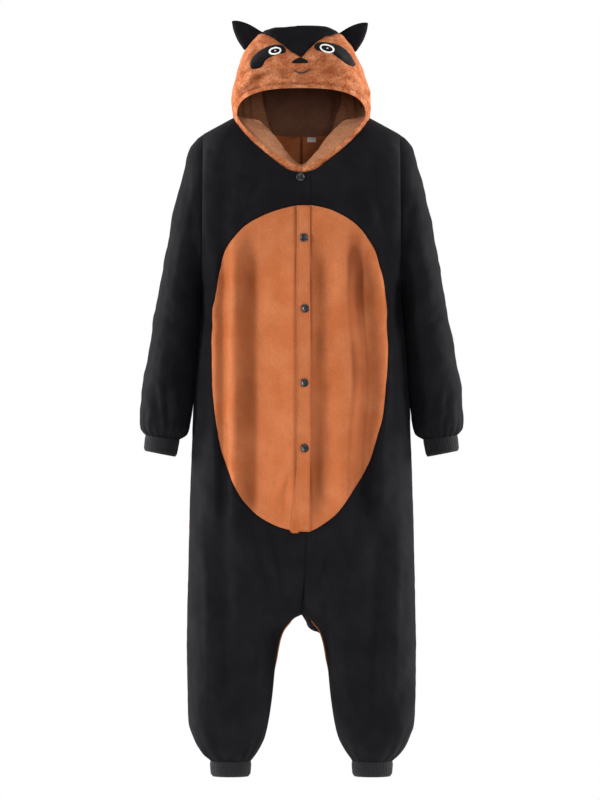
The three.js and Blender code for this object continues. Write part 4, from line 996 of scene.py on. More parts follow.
def cuff(name, grid, centre):
    """A knitted cuff from its rings, outer skin first."""
    rows, columns = grid.shape[:2]
    points = grid.reshape(-1, 3)
    triangles = grid_triangles(rows, columns, True)
    triangles = facing_out(points, triangles, (grid - centre).reshape(-1, 3))
    piece = cloth_object(name, points, triangles, RIB_KNIT, RIB_THICKNESS)
    around = np.tile(np.arange(columns) / columns, rows)
    paint(piece, "around", np.concatenate([around, 0 * around]))
    ribs = float(columns // POINTS_A_RIB)
    grown_mesh(piece, rib_tree, {"Ribs": ribs, "Height": RIB_HEIGHT * MM, "Material": RIB_KNIT})
    settle(piece)
    print(name, int(ribs), "ribs,", len(piece.data.polygons), "triangles")


def cuff_rows(rings, centres, count):
    """Sections at even steps along a cuff."""
    run = run_of(centres)
    at = np.linspace(0, run[-1], count)
    return np.stack([np.interp(at, run, rings[:, k]) for k in range(rings.shape[1])], axis=1)


cuff_columns = POINTS_A_RIB * round(CUFF_ROUND / RIB_SPACING)
turn = np.linspace(0, 2 * math.pi, cuff_columns, endpoint=False)
wrist_centres = (SLEEVE_CUFF[:, 0:2] + SLEEVE_CUFF[:, 2:4]) / 2
for side, name in ((-1, "right"), (1, "left")):
    rows = cuff_rows(SLEEVE_CUFF, wrist_centres, 14)
    grid = ring_point(rows[:, None, :], side, turn[None, :], -1)
    cuff(f"sleeve_cuff_{name}", grid, ring_point(rows[:, None, :], side, 0, 0))
    rows = cuff_rows(ANKLE_CUFF, ANKLE_CUFF[:, :1], 12)
    x = side * LEG_MIDDLE_X + rows[:, 1:2] * np.cos(turn)
    grid = np.stack([x, rows[:, 2:3] * np.sin(turn), np.repeat(rows[:, :1], cuff_columns, 1)], axis=-1)
    centre = np.stack([0 * x + side * LEG_MIDDLE_X, 0 * x, grid[..., 2]], axis=-1)
    cuff(f"ankle_cuff_{name}", grid, centre)

# %% [markdown]
# ## The hood
# The hood is an orange face with a black strip from the brow's peak over the head to the nape. Both are cut
# from one surface, as the belly is from the fronts. The face opening is a squarer arch above that narrows
# to a point at the throat, with a turned hem. A slit below it lets the front open.

# %% Cut and shape the hood
OPENING = {"half": 136, "middle": 44, "top": 95, "bottom": -67}
# the lower edge of the black strip over the brow, as seen from the front
PEAK = [(-88, 221), (-62, 212), (-44, 200), (-26, 185), (0, 170), (12, 184), (29, 201), (48, 213), (88, 223)]
FACE_DEPTH = 128
# the camera's place: its distance in front of the suit, and its x and z
VIEW_DISTANCE, CAMERA_X, CAMERA_Z = 9000, -3, -555
# The hood's table keeps the height above the neck seam and the angle round where a panel's keeps its seams.
FROM_NECK, ROUND = FROM_CENTRE, TO_SIDE


def seen(x, z, depth):
    """Where a point of the photograph lies on something nearer than the centre plane."""
    share = 1 - depth / VIEW_DISTANCE
    return CAMERA_X + (x - CAMERA_X) * share, CAMERA_Z + (z - CAMERA_Z) * share


def opening_outline():
    """The face opening: a squarer arch above its middle and a point below it."""
    a = np.linspace(0, 2 * math.pi, 240, endpoint=False)
    up = np.sin(a) >= 0
    power = np.where(up, 2 / 2.6, 2 / 1.3)
    height = np.where(up, OPENING["top"] - OPENING["middle"], OPENING["middle"] - OPENING["bottom"])
    x = OPENING["half"] * power_of(np.cos(a), power)
    return np.stack([x, OPENING["middle"] + height * power_of(np.sin(a), power)], axis=1)


opening_line = opening_outline()


def opening_distance(table):
    """Distance to the brim of the face opening, below nought inside it."""
    flat = distance_to(opening_line, table[:, 0], table[:, 2])
    return np.where(table[:, 1] < -10, flat, 60)


def crown_distance(table):
    """Below nought on the black strip."""
    x, y, z = table[:, 0], table[:, 1], table[:, 2]
    at, edge = np.array(PEAK, float).T
    seen_x, seen_z = seen(at, edge, FACE_DEPTH * (1 - np.abs(at) / 100))
    slope = np.interp(x, (seen_x[1:] + seen_x[:-1]) / 2, np.diff(seen_z) / np.diff(seen_x))
    front = (np.interp(x, seen_x, seen_z) - z) / np.sqrt(1 + slope ** 2)
    band = np.interp(z, [-40, 220], [62, 84])
    return np.where(y < 0, np.maximum(front, np.abs(x) - 84), np.abs(x) - band)


def lopsided(x, z):
    """The hood has slipped: above the cheeks it is narrower on the viewer's right."""
    return 1 - 0.05 * ease((z - 50) / 70) * ease(x / 60)


def hood_grid(step, crowd=1):
    """The hood's surface as a table. With crowd above 1 its rows lie closer together near the neck."""
    dense = np.linspace(0, 2 * math.pi, 4001)
    run = run_of(hood_point(dense, 60 + 0 * dense))
    columns = 4 * round(run[-1] / step / 4)
    angles = np.interp(np.arange(columns) / columns * run[-1], run, dense)
    level = 1 - (1 - np.linspace(0, 1, 3001)) ** 3
    climb = run_of(hood_point(math.pi / 2 + 0 * level, blend(NECK_SIDE_Z, HOOD_TOP_Z, level)))
    rows = round(climb[-1] / step * 1.15)
    levels = np.interp(np.linspace(0, 1, rows) ** crowd * climb[-1], climb, level)
    low = neck_z(angles)
    z = blend(low[None, :], HOOD_TOP_Z, levels[:, None])
    grid = hood_point(np.broadcast_to(angles, z.shape), z)
    grid[..., 0] *= lopsided(grid[..., 0], z)
    points = grid.reshape(-1, 3)
    triangles = facing_out(points, grid_triangles(rows, columns, True), points - (0, 0, 90))
    above = (z - low[None, :]).reshape(-1, 1)
    around = np.broadcast_to(angles, z.shape).reshape(-1, 1)
    table = np.concatenate([points, normals_of(points, triangles), above, around, ease(above / 24)], axis=1)
    return tidy(table, triangles)


HOOD_CREASES = [
    (-141, 87, -84, 136, 7, 3.6), (-136, 129, -84, 148, 7, 2.6), (-120, 118, -60, 139, 6, 3),
    (-140, 102, -78, 143, 5, -2.8), (-49, 129, -11, 117, 7, -3), (38, 113, 90, 141, 9, -3.2),
    (105, 153, 131, 124, 6, -3), (108, 112, 142, 90, 8, 3.4), (92, 120, 132, 100, 6, -3),
    (56, 110, 106, 130, 6, 3), (-112, -4, -134, 50, 7, -2), (-24, 101, 34, 110, 7, -2),
    (118, 60, 134, 20, 8, 2.4), (-80, 100, -112, 82, 6, -2.4), (20, 148, 52, 172, 9, 2.2),
    (-30, 122, 20, 134, 8, 1.8), (-118, 150, -96, 190, 7, 2.2), (70, 152, 96, 166, 7, 2),
]
BACK_HOOD_CREASES = [
    (-120, 40, -60, 0, 12, -2), (120, 40, 60, 0, 12, -2), (-100, 120, -96, 20, 12, -2),
    (98, 118, 94, 24, 12, -2), (-40, 60, 30, 40, 12, -1.5), (-50, 20, 40, 8, 10, 1.4),
]
HEM_WIDTH = 10.5


def hood_push(table):
    """How far the hood's cloth stands out from its plain surface."""
    points = table[:, PLACE]
    x, y, z = points.T
    above = table[:, FROM_NECK]
    brim = opening_distance(table)
    crown = crown_distance(table)
    soft = table[:, FREE] * ease((brim - 2) / 14)
    push = soft * np.where(y < 0, 1.35 * creases(HOOD_CREASES, x, z), creases(BACK_HOOD_CREASES, x, z))
    push += soft * blend(1.5, 0.6, ease((z - 150) / 50)) * ripple(points, 85, 31)
    push += soft * 0.5 * ripple(points, 32, 32)
    push += seam_dip(crown, points, 1.1, 2.6) * ease(brim / 4)
    push += ease(above / 2) * seam_dip(above, points, 1.0) * ease(brim / 6)
    hem = np.clip(brim, 0, 60)
    push += 1.2 * np.sin(math.pi * np.clip(hem / 10, 0, 1)) - 1.6 * np.exp(-((hem - HEM_WIDTH) / 1.8) ** 2)
    push += 0.6 * ripple(points, 14, 33) * np.exp(-((hem - 11) / 7) ** 2)
    centre_seam = np.where(y > 0, np.abs(x), FAR)
    return push + seam_dip(centre_seam, points, 0.9) * (crown < 0) * ease(above / 6)


def shape_hood(table):
    """Outer points of the hood, and the painted shade at each of them."""
    x, y, z = table[:, PLACE].T
    near = np.minimum(np.abs(crown_distance(table)), table[:, FROM_NECK])
    # The slope of the wrinkles, down to the viewer's right, over three reaches that are 34 mm in all.
    falls = [creases(HOOD_CREASES, x - k, z + k) - creases(HOOD_CREASES, x + k, z - k) for k in (2, 4, 6)]
    fall = sum(falls) / 34
    # Painted shade on the face: wrinkle slopes that fall to the viewer's right, away from the key light, are
    # darker.
    on_face = (y < 0) & (crown_distance(table) > 0)
    painted_fold_shade = np.where(on_face, 0.75 * np.clip(fall / HOOD_PAINTED_SHADE_SLOPE, 0, 1), 0)
    # Painted shade along the hem's stitched groove, and beside the crown and neck seams.
    hem = 0.55 * np.exp(-((opening_distance(table) - HEM_WIDTH) / 1.7) ** 2) * ease(z / 30)
    shade = np.maximum(0.7 * np.exp(-(near / 2.2) ** 2), painted_fold_shade + hem)
    return table[:, PLACE] + table[:, FACING] * hood_push(table)[:, None], shade


table, triangles = hood_grid(3.2)
table = draw_onto(table, opening_distance, 1.0)
table, triangles = cut(table, triangles, -snapped(opening_distance(table)))
table = draw_onto(table, crown_distance, 0.9)
slit = np.where((table[:, 1] < 0) & (table[:, 2] < -50), 0.5 - np.abs(table[:, 0]), -1)
table, triangles = cut(table, triangles, slit)
crown_side = snapped(crown_distance(table))
hood_skins = []
for name, sign, material, slot in (
    ("hood_face", -1, CLUMPED_FLEECE, "orange_fleece"), ("hood_crown", 1, BLACK_FLEECE, "black_fleece"),
):
    part_table, part_triangles = cut(table, triangles, sign * crown_side)
    skin, seam = shape_hood(part_table)
    hood_skins.append((skin, part_triangles))
    piece = cloth_object(name, skin, part_triangles, material, CLOTH, seam)
    settle(piece)
    print(name, len(piece.data.polygons), "triangles")
hood_tree = tree_of(*hood_skins)

# %% [markdown]
# ## The lining
# The hood is lined with thinner tan fleece. A strip from the brow to the nape gets a darker brown copy of it,
# painted shade for the back of the hood. Lining hangs looser than the shell, so it falls in upright folds
# that catch the light, and low down it rolls into view inside the opening.

# %% Shape the lining
# z, half width of the strip that has the brown painted-shade copy of the lining
LINING_STRIP = [(-100, 50), (0, 58), (53, 79), (90, 90), (260, 96)]
# how far from the brim the lining starts, how far inside the hood's surface it lies, and its thickness
LINING_IN, LINING_INSET, LINING_CLOTH = 3, 3.6, 1.0


def strip_distance(table):
    """Below nought on the lining's middle strip, where the brown copy paints shade."""
    x, y, z = table[:, 0], table[:, 1], table[:, 2]
    return np.where((y < 0) & (z < 60), 30, np.abs(x) - read(LINING_STRIP, 1, z))


def right_side(table):
    """Below nought on the tan lining at the wearer's right."""
    return np.maximum(-strip_distance(table), table[:, 0])


def left_side(table):
    """Below nought on the tan lining at the wearer's left."""
    return np.maximum(-strip_distance(table), -table[:, 0])


def roll_in(table):
    """How the loose lining rolls into view inside the lower part of the face opening."""
    x, z = table[:, 0], table[:, 2]
    off = opening_distance(table)
    right, up = table.copy(), table.copy()
    right[:, 0] += 0.5
    up[:, 2] += 0.5
    way = np.stack([opening_distance(right) - off, opening_distance(up) - off], axis=1)
    way /= np.maximum(np.linalg.norm(way, axis=1, keepdims=True), 1e-9)
    from_brim, from_neck = np.maximum(off - LINING_IN, 0), table[:, FROM_NECK]
    share = from_brim / np.maximum(from_brim + from_neck, 1e-6)
    low = ease((52 - z) / 50) * (off < 40)
    swell = low * np.sin(math.pi * np.clip(share, 0, 1)) ** 0.7
    reach = swell * (blend(7, 34, ease(np.abs(x) / 95)) + from_brim)
    fold = 7 * np.exp(-((share - 0.16) / 0.04) ** 2) + 6 * np.exp(-((share - 0.33) / 0.05) ** 2)
    back = swell * (12 + 20 * share + fold)
    return np.stack([-way[:, 0] * reach, back, -way[:, 1] * reach], axis=1)


table, triangles = hood_grid(3, 1.5)
table, triangles = cut(table, triangles, LINING_IN - opening_distance(table))
for name, slot, material, lining_side in (
    ("hood_lining_back", "lining_brown", LINING_IN_PAINTED_SHADE, strip_distance),
    ("hood_lining_right", "lining_tan", LINING_TAN, right_side),
    ("hood_lining_left", "lining_tan", LINING_TAN, left_side),
):
    part_table, part_triangles = cut(table, triangles, lining_side(table))
    points = part_table[:, PLACE]
    strip = strip_distance(part_table)
    around = part_table[:, ROUND]
    hang = ease(part_table[:, FROM_NECK] / 40) * ease((HOOD_TOP_Z - points[:, 2]) / 80)
    hang *= ease((opening_distance(part_table) - LINING_IN) / 20)
    loose = hang * (2.2 + 2.2 * np.sin(21 * around + 1.3 * np.sin(3 * around)) + 1.2 * ripple(points, 60, 41))
    loose += hang * 9 * np.exp(-((np.abs(strip) - 2) / 11) ** 2) * (np.abs(strip) < 29)
    inset = LINING_INSET + np.maximum(loose, 0) + np.maximum(-hood_push(part_table), 0)
    skin = points - part_table[:, FACING] * inset[:, None] + roll_in(part_table)
    # The lowest row reaches past the neck seam, into the seam allowance.
    skin[:, 2] -= 4.5 * (part_table[:, FROM_NECK] < 1)
    # Painted shade in the gap along the edges of the brown strip.
    edge = 0.5 * np.exp(-(np.abs(strip) / 2.5) ** 2)
    piece = cloth_object(name, skin, part_triangles, material, LINING_CLOTH, edge)
    settle(piece)
    print(name, len(piece.data.polygons), "triangles")

# %% [markdown]
# ## Padded ears
# An ear is two matching shapes sewn edge to edge, turned and lightly stuffed, then set into the hood. Its
# two faces crown between the edges, and the seam round it stays flat and sharp.

# %% Sew the ears
EAR_OUTLINE = np.array([
    (96, 196), (118, 186), (127, 194), (137, 210), (144, 228), (146.5, 240), (147, 248), (140, 249.2),
    (132, 248.5), (119.5, 245), (109, 240.5), (100, 235.5), (90, 229), (80, 222), (78, 206),
], float)
EAR_CENTRE = np.array([112, 217.0])
EAR_CROWN, EAR_RINGS = 9, 19
# The hood has slipped, so the ear on the viewer's right sits further in and lower.
EAR_SLIP = {"right": (0, 0, 0), "left": (6, 0, 4)}


def rounded(outline, per_span):
    """A smooth closed curve through the corners of an outline."""
    before, after, later = (np.roll(outline, k, axis=0) for k in (1, -1, -2))
    t = (np.arange(per_span) / per_span)[None, :, None]
    p, q, r, s = (line[:, None, :] for line in (before, outline, after, later))
    square, cube = 2 * p - 5 * q + 4 * r - s, 3 * q - p - 3 * r + s
    return (0.5 * (2 * q + (r - p) * t + square * t ** 2 + cube * t ** 3)).reshape(-1, 2)


def inside_hood(points):
    """Above nought inside the hood's plain surface."""
    x, y, z = points.T
    x = x / lopsided(x, z)
    z = np.minimum(z, 237.9)
    depth = np.where(y < 0, read(HOOD, 2, z), read(HOOD, 3, z))
    across, along = np.abs(x) / read(HOOD, 1, z), np.abs(y) / depth
    return 1 - across ** HOOD_ROUNDNESS - along ** HOOD_ROUNDNESS


ear_outline = rounded(EAR_OUTLINE, 8)
ear_rings = np.concatenate([np.linspace(0, 1, EAR_RINGS), np.linspace(1, 0, EAR_RINGS)[1:]])
front_half = np.where(np.arange(len(ear_rings)) < EAR_RINGS, -1, 1)
for side, name in ((-1, "right"), (1, "left")):
    ring = EAR_CENTRE + (ear_outline - EAR_CENTRE)[None] * ear_rings[:, None, None]
    crown = (EAR_CROWN * np.sqrt(np.maximum(0, 1 - ear_rings ** 2.6)) + 0.15) * front_half
    y = 2 + 0.12 * (ring[..., 1] - EAR_CENTRE[1]) + crown[:, None]
    points = np.stack([side * ring[..., 0], y, ring[..., 1]], axis=-1).reshape(-1, 3) - EAR_SLIP[name]
    triangles = grid_triangles(len(ear_rings), len(ear_outline), True)
    triangles = facing_out(points, triangles, points - points.mean(axis=0))
    rim = np.repeat(ear_rings, len(ear_outline))
    table = np.concatenate([points, normals_of(points, triangles), rim[:, None]], axis=1)
    table, triangles = tidy(table, triangles)
    table, triangles = cut(table, triangles, inside_hood(table[:, PLACE]) * 60 - 0.6)
    points = table[:, PLACE]
    out = table[:, 6]
    bulge = (1 - out) * 0.9 * ripple(points, 34, 51 + side) - 0.8 * np.exp(-((out - 0.9) / 0.06) ** 2)
    skin = points + table[:, FACING] * bulge[:, None]
    piece = mesh_object(f"ear_{name}", skin, triangles, BLACK_FLEECE)
    # Painted shade along the seam round the ear's rim, where it pinches in.
    paint(piece, "seam", 0.6 * np.exp(-((1 - out) / 0.04) ** 2))
    settle(piece)
    print(piece.name, len(piece.data.polygons), "triangles")

# %% [markdown]
# ## Pieces sewn on
# Eye patches, eyes, nose and placket are flat shapes laid on the cloth and stitched down. A ray from the
# front finds the cloth under each point, so a patch follows every fold below it. Its edge rolls down to the
# cloth where the stitching holds it.

# %% Lay patches on the cloth


def laid_on(tree, x, z, from_y=-500):
    """Points and directions of the cloth behind each x and z, seen from the front."""
    places, facings = [], []
    for px, pz in zip(x.tolist(), z.tolist()):
        place, facing = tree.ray_cast(Vector((px, from_y, pz)), Vector((0, 1, 0)))[:2]
        if place is None:
            place, facing = tree.find_nearest(Vector((px, from_y * 0.25, pz)))[:2]
        places.append(place)
        facings.append(facing)
    return np.array(places), np.array(facings)


def softened(points, facings, triangles, rounds=3):
    """The facings, averaged with their neighbours, so that a patch doesn't copy every pucker below it."""
    pairs = np.concatenate([triangles[:, [0, 1]], triangles[:, [1, 2]], triangles[:, [2, 0]]])
    for unused in range(rounds):
        total = facings.copy()
        for axis in range(3):
            total[:, axis] += np.bincount(pairs[:, 0], facings[pairs[:, 1], axis], len(points))
            total[:, axis] += np.bincount(pairs[:, 1], facings[pairs[:, 0], axis], len(points))
        facings = total / np.linalg.norm(total, axis=1, keepdims=True)
    return facings


def patch(name, outline, tree, base, height, roll, material, spacing, stitch_in=None):
    """A flat shape laid on cloth: its piece and its upper skin.

    base is its gap to the cloth and height its own, a number or a function of x. roll is how far in its edge
    curves down, spacing the distance between its points, and stitch_in how far in a line of stitches sinks.
    """
    low, high = outline.min(axis=0) - spacing, outline.max(axis=0) + spacing
    x = np.arange(low[0], high[0] + spacing, spacing)
    z = np.arange(low[1], high[1] + spacing, spacing)
    grid_x, grid_z = np.meshgrid(x, z)
    flat = np.stack([grid_x.ravel(), 0 * grid_x.ravel(), grid_z.ravel()], axis=1)
    facing = np.tile([0.0, -1.0, 0.0], (len(flat), 1))
    table = np.concatenate([flat, facing], axis=1)

    def edge(rows):
        return distance_to(outline, rows[:, 0], rows[:, 2])

    near = edge(table) < 3 * spacing
    triangles = grid_triangles(len(z), len(x), False)
    triangles = triangles[near[triangles].all(axis=1)]
    table = draw_onto(table, edge, spacing * 0.3)
    table, triangles = cut(table, triangles, snapped(edge(table)))
    triangles = facing_out(table[:, PLACE], triangles, table[:, FACING])
    places, facings = laid_on(tree, table[:, 0], table[:, 2])
    facings = softened(places, facings, triangles)
    inner = np.maximum(-edge(table), 0)
    tall = height(table[:, 0]) if callable(height) else height
    rise = tall * np.sqrt(np.maximum(0, 1 - (1 - np.clip(inner / roll, 0, 1)) ** 2))
    if stitch_in:
        rise -= 0.45 * np.exp(-((inner - stitch_in) / 0.9) ** 2)
        rise += 0.2 * ripple(places, 11, 61) * np.exp(-((inner - stitch_in) / 3) ** 2)
    top = places + facings * (base + 0.15 + rise)[:, None]
    points, faces = closed_between(top, places + facings * base, triangles)
    piece = mesh_object(name, points, faces, material, 70)
    # Painted shade along the patch's edge, where it rolls down to the cloth.
    depth = np.exp(-(inner / 1.2) ** 2) * 0.5
    paint(piece, "seam", np.concatenate([depth, depth]))
    return piece, (top, triangles)


def felt(name, shade, main, light):
    """Pressed wool-like felt: matt, with short tangled fibres and no weave, and painted shade where seam says
    so.
    """
    material, tree = new_material(name)
    place = add(tree, "ShaderNodeTexCoord").outputs["Object"]
    fibres = add(tree, "ShaderNodeTexNoise", inputs={
        "Vector": place, "Scale": per_metre(1.6), "Detail": 4.0, "Roughness": 0.7, "Distortion": 0.6,
    })
    cloudy = add(tree, "ShaderNodeTexNoise", inputs={"Vector": place, "Scale": per_metre(14), "Detail": 2.0})
    tone = mixed(tree, cloudy.outputs["Fac"], colour(main), colour(light))
    seam = add(tree, "ShaderNodeAttribute", {"attribute_name": "seam"})
    edge = mixed(tree, seam.outputs["Fac"], tone, colour(shade))
    bump = add(tree, "ShaderNodeBump", inputs={
        "Height": fibres.outputs["Fac"], "Strength": 0.4, "Distance": 0.6 * MM,
    })
    finish_material(tree, add(tree, "ShaderNodeBsdfPrincipled", inputs={
        "Base Color": edge, "Roughness": 0.92, "Specular IOR Level": 0.12,
        "Sheen Weight": 0.05, "Normal": bump.outputs["Normal"],
    }))
    return material


BLACK_FELT = felt("black_pressed_felt", "040304", "0b0a0c", "141316")
WHITE_FELT = felt("white_pressed_felt", "c8c2bc", "fbf9f7", "ffffff")


def seen_outline(outline):
    """An outline from the photograph, as it lies on the face of the hood."""
    x, z = seen(outline[:, 0], outline[:, 1], FACE_DEPTH)
    return np.stack([x, z], axis=1)


def ellipse(x, z, half_width, half_height, tilt=0, count=48):
    """A ring of points. tilt is in degrees."""
    a, lean = np.linspace(0, 2 * math.pi, count, endpoint=False), math.radians(tilt)
    along, up = half_width * np.cos(a), half_height * np.sin(a)
    return np.stack([
        x + along * math.cos(lean) - up * math.sin(lean),
        z + along * math.sin(lean) + up * math.cos(lean),
    ], axis=1)


EYE_PATCHES = {
    "eye_patch_right": [
        (-109, 157), (-104, 172), (-88, 188), (-69, 197), (-53, 200), (-39, 197), (-33, 188), (-35, 181),
        (-49, 178), (-65, 172), (-76, 165), (-85, 151), (-104, 147),
    ],
    "eye_patch_left": [
        (115, 160), (103, 182), (87, 196), (68, 203), (46, 206), (32, 203), (27, 195), (31, 188), (43, 184),
        (61, 183), (80, 169), (103, 155),
    ],
}
# x, z, half width, half height, tilt
EYES = {"right": (-56, 185.5, 13.5, 8.6, 10), "left": (54.5, 191, 16, 9.8, -15)}
EYE_RING = 3.5
NOSE = [
    (-17.3, 160), (-15, 163), (-12, 165.5), (-4, 169), (0, 169.8), (5, 169), (12, 166), (17, 162),
    (15, 158.5), (6, 157.8), (0, 157.5), (-14, 158),
]
face_skins = {}
for name, corners in EYE_PATCHES.items():
    outline = seen_outline(rounded(np.array(corners, float), 6))
    piece, face_skins[name] = patch(name, outline, hood_tree, 0.3, 1.2, 1.6, BLACK_FELT, 2.2, 2.0)
    settle(piece)
for side, (x, z, half_width, half_height, tilt) in EYES.items():
    patch_tree = tree_of(*hood_skins, face_skins[f"eye_patch_{side}"])
    name = f"eye_ring_{side}"
    outline = seen_outline(ellipse(x, z, half_width, half_height, tilt))
    piece, face_skins[name] = patch(name, outline, patch_tree, 0.25, 1.0, 1.2, WHITE_FELT, 1.2, 1.2)
    settle(piece)
    eye_tree = tree_of(*hood_skins, face_skins[f"eye_patch_{side}"], face_skins[name])
    name = f"pupil_{side}"
    outline = seen_outline(ellipse(x, z, half_width - EYE_RING, half_height - EYE_RING, tilt))
    piece, face_skins[name] = patch(name, outline, eye_tree, 0.2, 0.9, 1.4, BLACK_FELT, 0.9)
    settle(piece)
    glint_tree = tree_of(face_skins[name])
    outline = seen_outline(ellipse(x + 0.6, z + 0.4, 2.1, 1.2, 0, 20))
    settle(patch(f"glint_{side}", outline, glint_tree, 0.1, 0.4, 0.6, WHITE_FELT, 0.5)[0])
nose_outline = seen_outline(rounded(np.array(NOSE) - (3, 0), 5))
piece, face_skins["nose"] = patch("nose", nose_outline, hood_tree, 0.3, 3.4, 5.0, BLACK_FELT, 1.4)
settle(piece)
print("face pieces:", sorted(face_skins))

# %% [markdown]
# ## The placket
# The placket is a band of orange fleece that covers the closing, folded under at both edges and topstitched.
# Above the belly it goes on in black. Both strips follow the finished fronts, and the stitching sinks a
# groove into them a few millimetres in from each edge.

# %% Lay the placket
TOPSTITCH_IN = 3.6


def placket_height(x):
    """The placket's free edge, on the wearer's right, stands proud; the sewn one lies flat."""
    return blend(3.0, 0.9, ease((x - PLACKET_RIGHT) / 24))


def waver(z):
    """How far the sewn band strays sideways from a straight line."""
    return 0.5 * np.sin(z / 37) + 0.4 * np.sin(z / 91 + 1)


levels = np.linspace(PLACKET_JOIN_Z - 0.3, PLACKET_END_Z, 90)
band = np.concatenate([
    np.stack([PLACKET_RIGHT + waver(levels), levels], axis=1),
    np.stack([PLACKET_LEFT + waver(levels), levels], axis=1)[::-1],
])
piece, placket_skin = patch(
    "placket", band, front_tree, 0.3, placket_height, 1.6, ORANGE_FLEECE, 2.0, TOPSTITCH_IN,
)
settle(piece)
under = np.array([(-6.0, -700), (-11, -700), (-16, -745), (-21, -795), (-24, -829), (-19, -833), (-6, -833)])
underlap = patch("placket_underlap", under, front_tree, 0.2, 0.6, 1.0, ORANGE_FLEECE, 2.6, TOPSTITCH_IN)
settle(underlap[0])
top_x = np.linspace(PLACKET_RIGHT, PLACKET_LEFT, 15)
top_z = read(FRONT_NECKLINE, 1, np.abs(top_x)) - 0.6
head = np.concatenate([
    np.stack([top_x, top_z], axis=1),
    [(PLACKET_LEFT, PLACKET_JOIN_Z), (PLACKET_RIGHT, PLACKET_JOIN_Z)],
])
piece, placket_top_skin = patch(
    "placket_top", head, front_tree, 0.3, 1.4, 1.4, BLACK_FLEECE, 2.4, TOPSTITCH_IN,
)
settle(piece)
placket_tree = tree_of(placket_skin, placket_top_skin)

# %% [markdown]
# ## Buttons
# Five four-hole buttons close the placket. Such a button is moulded from polyester: a shallow dish inside a
# rounded rim, with holes for the thread. A spun profile gives the disc, and a boolean drills it.

# %% Turn, drill and place the buttons
BUTTON_POLYESTER, tree = new_material("black_polyester_button")
# Moulded polyester: smooth and half gloss, so it takes a soft highlight round the rim.
place = add(tree, "ShaderNodeTexCoord").outputs["Object"]
swirl = add(tree, "ShaderNodeTexNoise", inputs={"Vector": place, "Scale": per_metre(6), "Distortion": 1.5})
scuff = add(tree, "ShaderNodeMapRange", inputs={
    "Value": swirl.outputs["Fac"], "To Min": 0.26, "To Max": 0.42,
})
mottle = mixed(tree, swirl.outputs["Fac"], colour("131215"), colour("26252a"))
finish_material(tree, add(tree, "ShaderNodeBsdfPrincipled", inputs={
    "Base Color": mottle, "Roughness": scuff.outputs[0], "IOR": 1.52,
}))
BUTTON_PROFILE = [
    (0, 2.0), (3.4, 2.0), (6.0, 2.1), (6.8, 2.5), (7.4, 3.05), (8.0, 3.2), (8.55, 2.95), (8.9, 2.4), (9, 1.7),
    (8.9, 0.9), (8.4, 0.25), (7.6, 0), (0, 0),
]
# x and z of each button, from the neck down
BUTTONS = [(-2, -89), (5, -216), (7.5, -364), (6, -519), (6.5, -655)]
HOLE_OFF, HOLE_RADIUS = 1.9, 0.95
# one loop of thread from hole to hole: across, and out from the button's back
THREAD_LOOP = [
    (-HOLE_OFF, 1.2), (-HOLE_OFF, 2.0), (-1.5, 2.5), (0, 2.7), (1.5, 2.5), (HOLE_OFF, 2.0), (HOLE_OFF, 1.2),
]


def spun(profile, segments):
    """A profile of radius and height, turned once round."""
    a = np.linspace(0, 2 * math.pi, segments, endpoint=False)
    grid = np.array([[(r * math.cos(t), r * math.sin(t), h) for t in a] for r, h in profile])
    points = grid.reshape(-1, 3)
    triangles = facing_out(points, grid_triangles(len(profile), segments, True), points - (0, 0, 1.5))
    return tidy(points, triangles)


def cylinder(x, y, radius, low, high):
    """A round bar that stands at x and y, to drill a hole with."""
    points, triangles = spun([(0, low), (radius, low), (radius, high), (0, high)], 14)
    triangles = facing_out(points, triangles, points - (0, 0, (low + high) / 2))
    return points + (x, y, 0), triangles


disc = mesh_object("button_blank", *spun(BUTTON_PROFILE, 44), BUTTON_POLYESTER, 40)
bars = [cylinder(x, y, HOLE_RADIUS, -1, 4) for x in (-HOLE_OFF, HOLE_OFF) for y in (-HOLE_OFF, HOLE_OFF)]
drills = mesh_object("button_drills", *joined(bars), BUTTON_POLYESTER)
drilling = disc.modifiers.new("holes", "BOOLEAN")
drilling.operation, drilling.object, drilling.solver = "DIFFERENCE", drills, "EXACT"
bpy.context.view_layer.update()
graph = bpy.context.evaluated_depsgraph_get()
button_mesh = bpy.data.meshes.new_from_object(disc.evaluated_get(graph), depsgraph=graph)
button_points = np.array([v.co for v in button_mesh.vertices]) / MM
button_faces = [list(face.vertices) for face in button_mesh.polygons]
for helper in (disc, drills):
    bpy.data.objects.remove(helper)


def thread_over(points, radius, sides=8):
    """A short tube of thread along a line of points, closed at both ends."""
    points = np.asarray(points, float)
    rings = []
    for k, point in enumerate(points):
        way = points[min(k + 1, len(points) - 1)] - points[max(k - 1, 0)]
        way /= np.linalg.norm(way)
        across = np.cross(way, (0, 0, 1.0) if abs(way[2]) < 0.9 else (1.0, 0, 0))
        across /= np.linalg.norm(across)
        up = np.cross(way, across)
        width = radius * (0.05 if k in (0, len(points) - 1) else 1)
        turns = np.linspace(0, 2 * math.pi, sides, endpoint=False)
        rings.append([point + width * (math.cos(t) * across + math.sin(t) * up) for t in turns])
    grid = np.array(rings)
    flat = grid.reshape(-1, 3)
    triangles = grid_triangles(len(points), sides, True)
    return flat, facing_out(flat, triangles, flat - np.repeat(points, sides, axis=0))


BLACK_THREAD, tree = new_material("black_polyester_thread")
# Twisted sewing thread with a slight gloss. Its twist is finer than a pixel, so broader bands of painted
# light and shade stand for it.
place = add(tree, "ShaderNodeTexCoord").outputs["Object"]
twist = add(tree, "ShaderNodeTexWave", {"bands_direction": "DIAGONAL"}, {
    "Vector": place, "Scale": per_metre(12), "Distortion": 0.5,
})
strand = mixed(tree, twist.outputs["Fac"], colour("0e0d0f"), colour("2b2a2e"))
finish_material(tree, add(tree, "ShaderNodeBsdfPrincipled", inputs={
    "Base Color": strand, "Roughness": 0.55,
}))

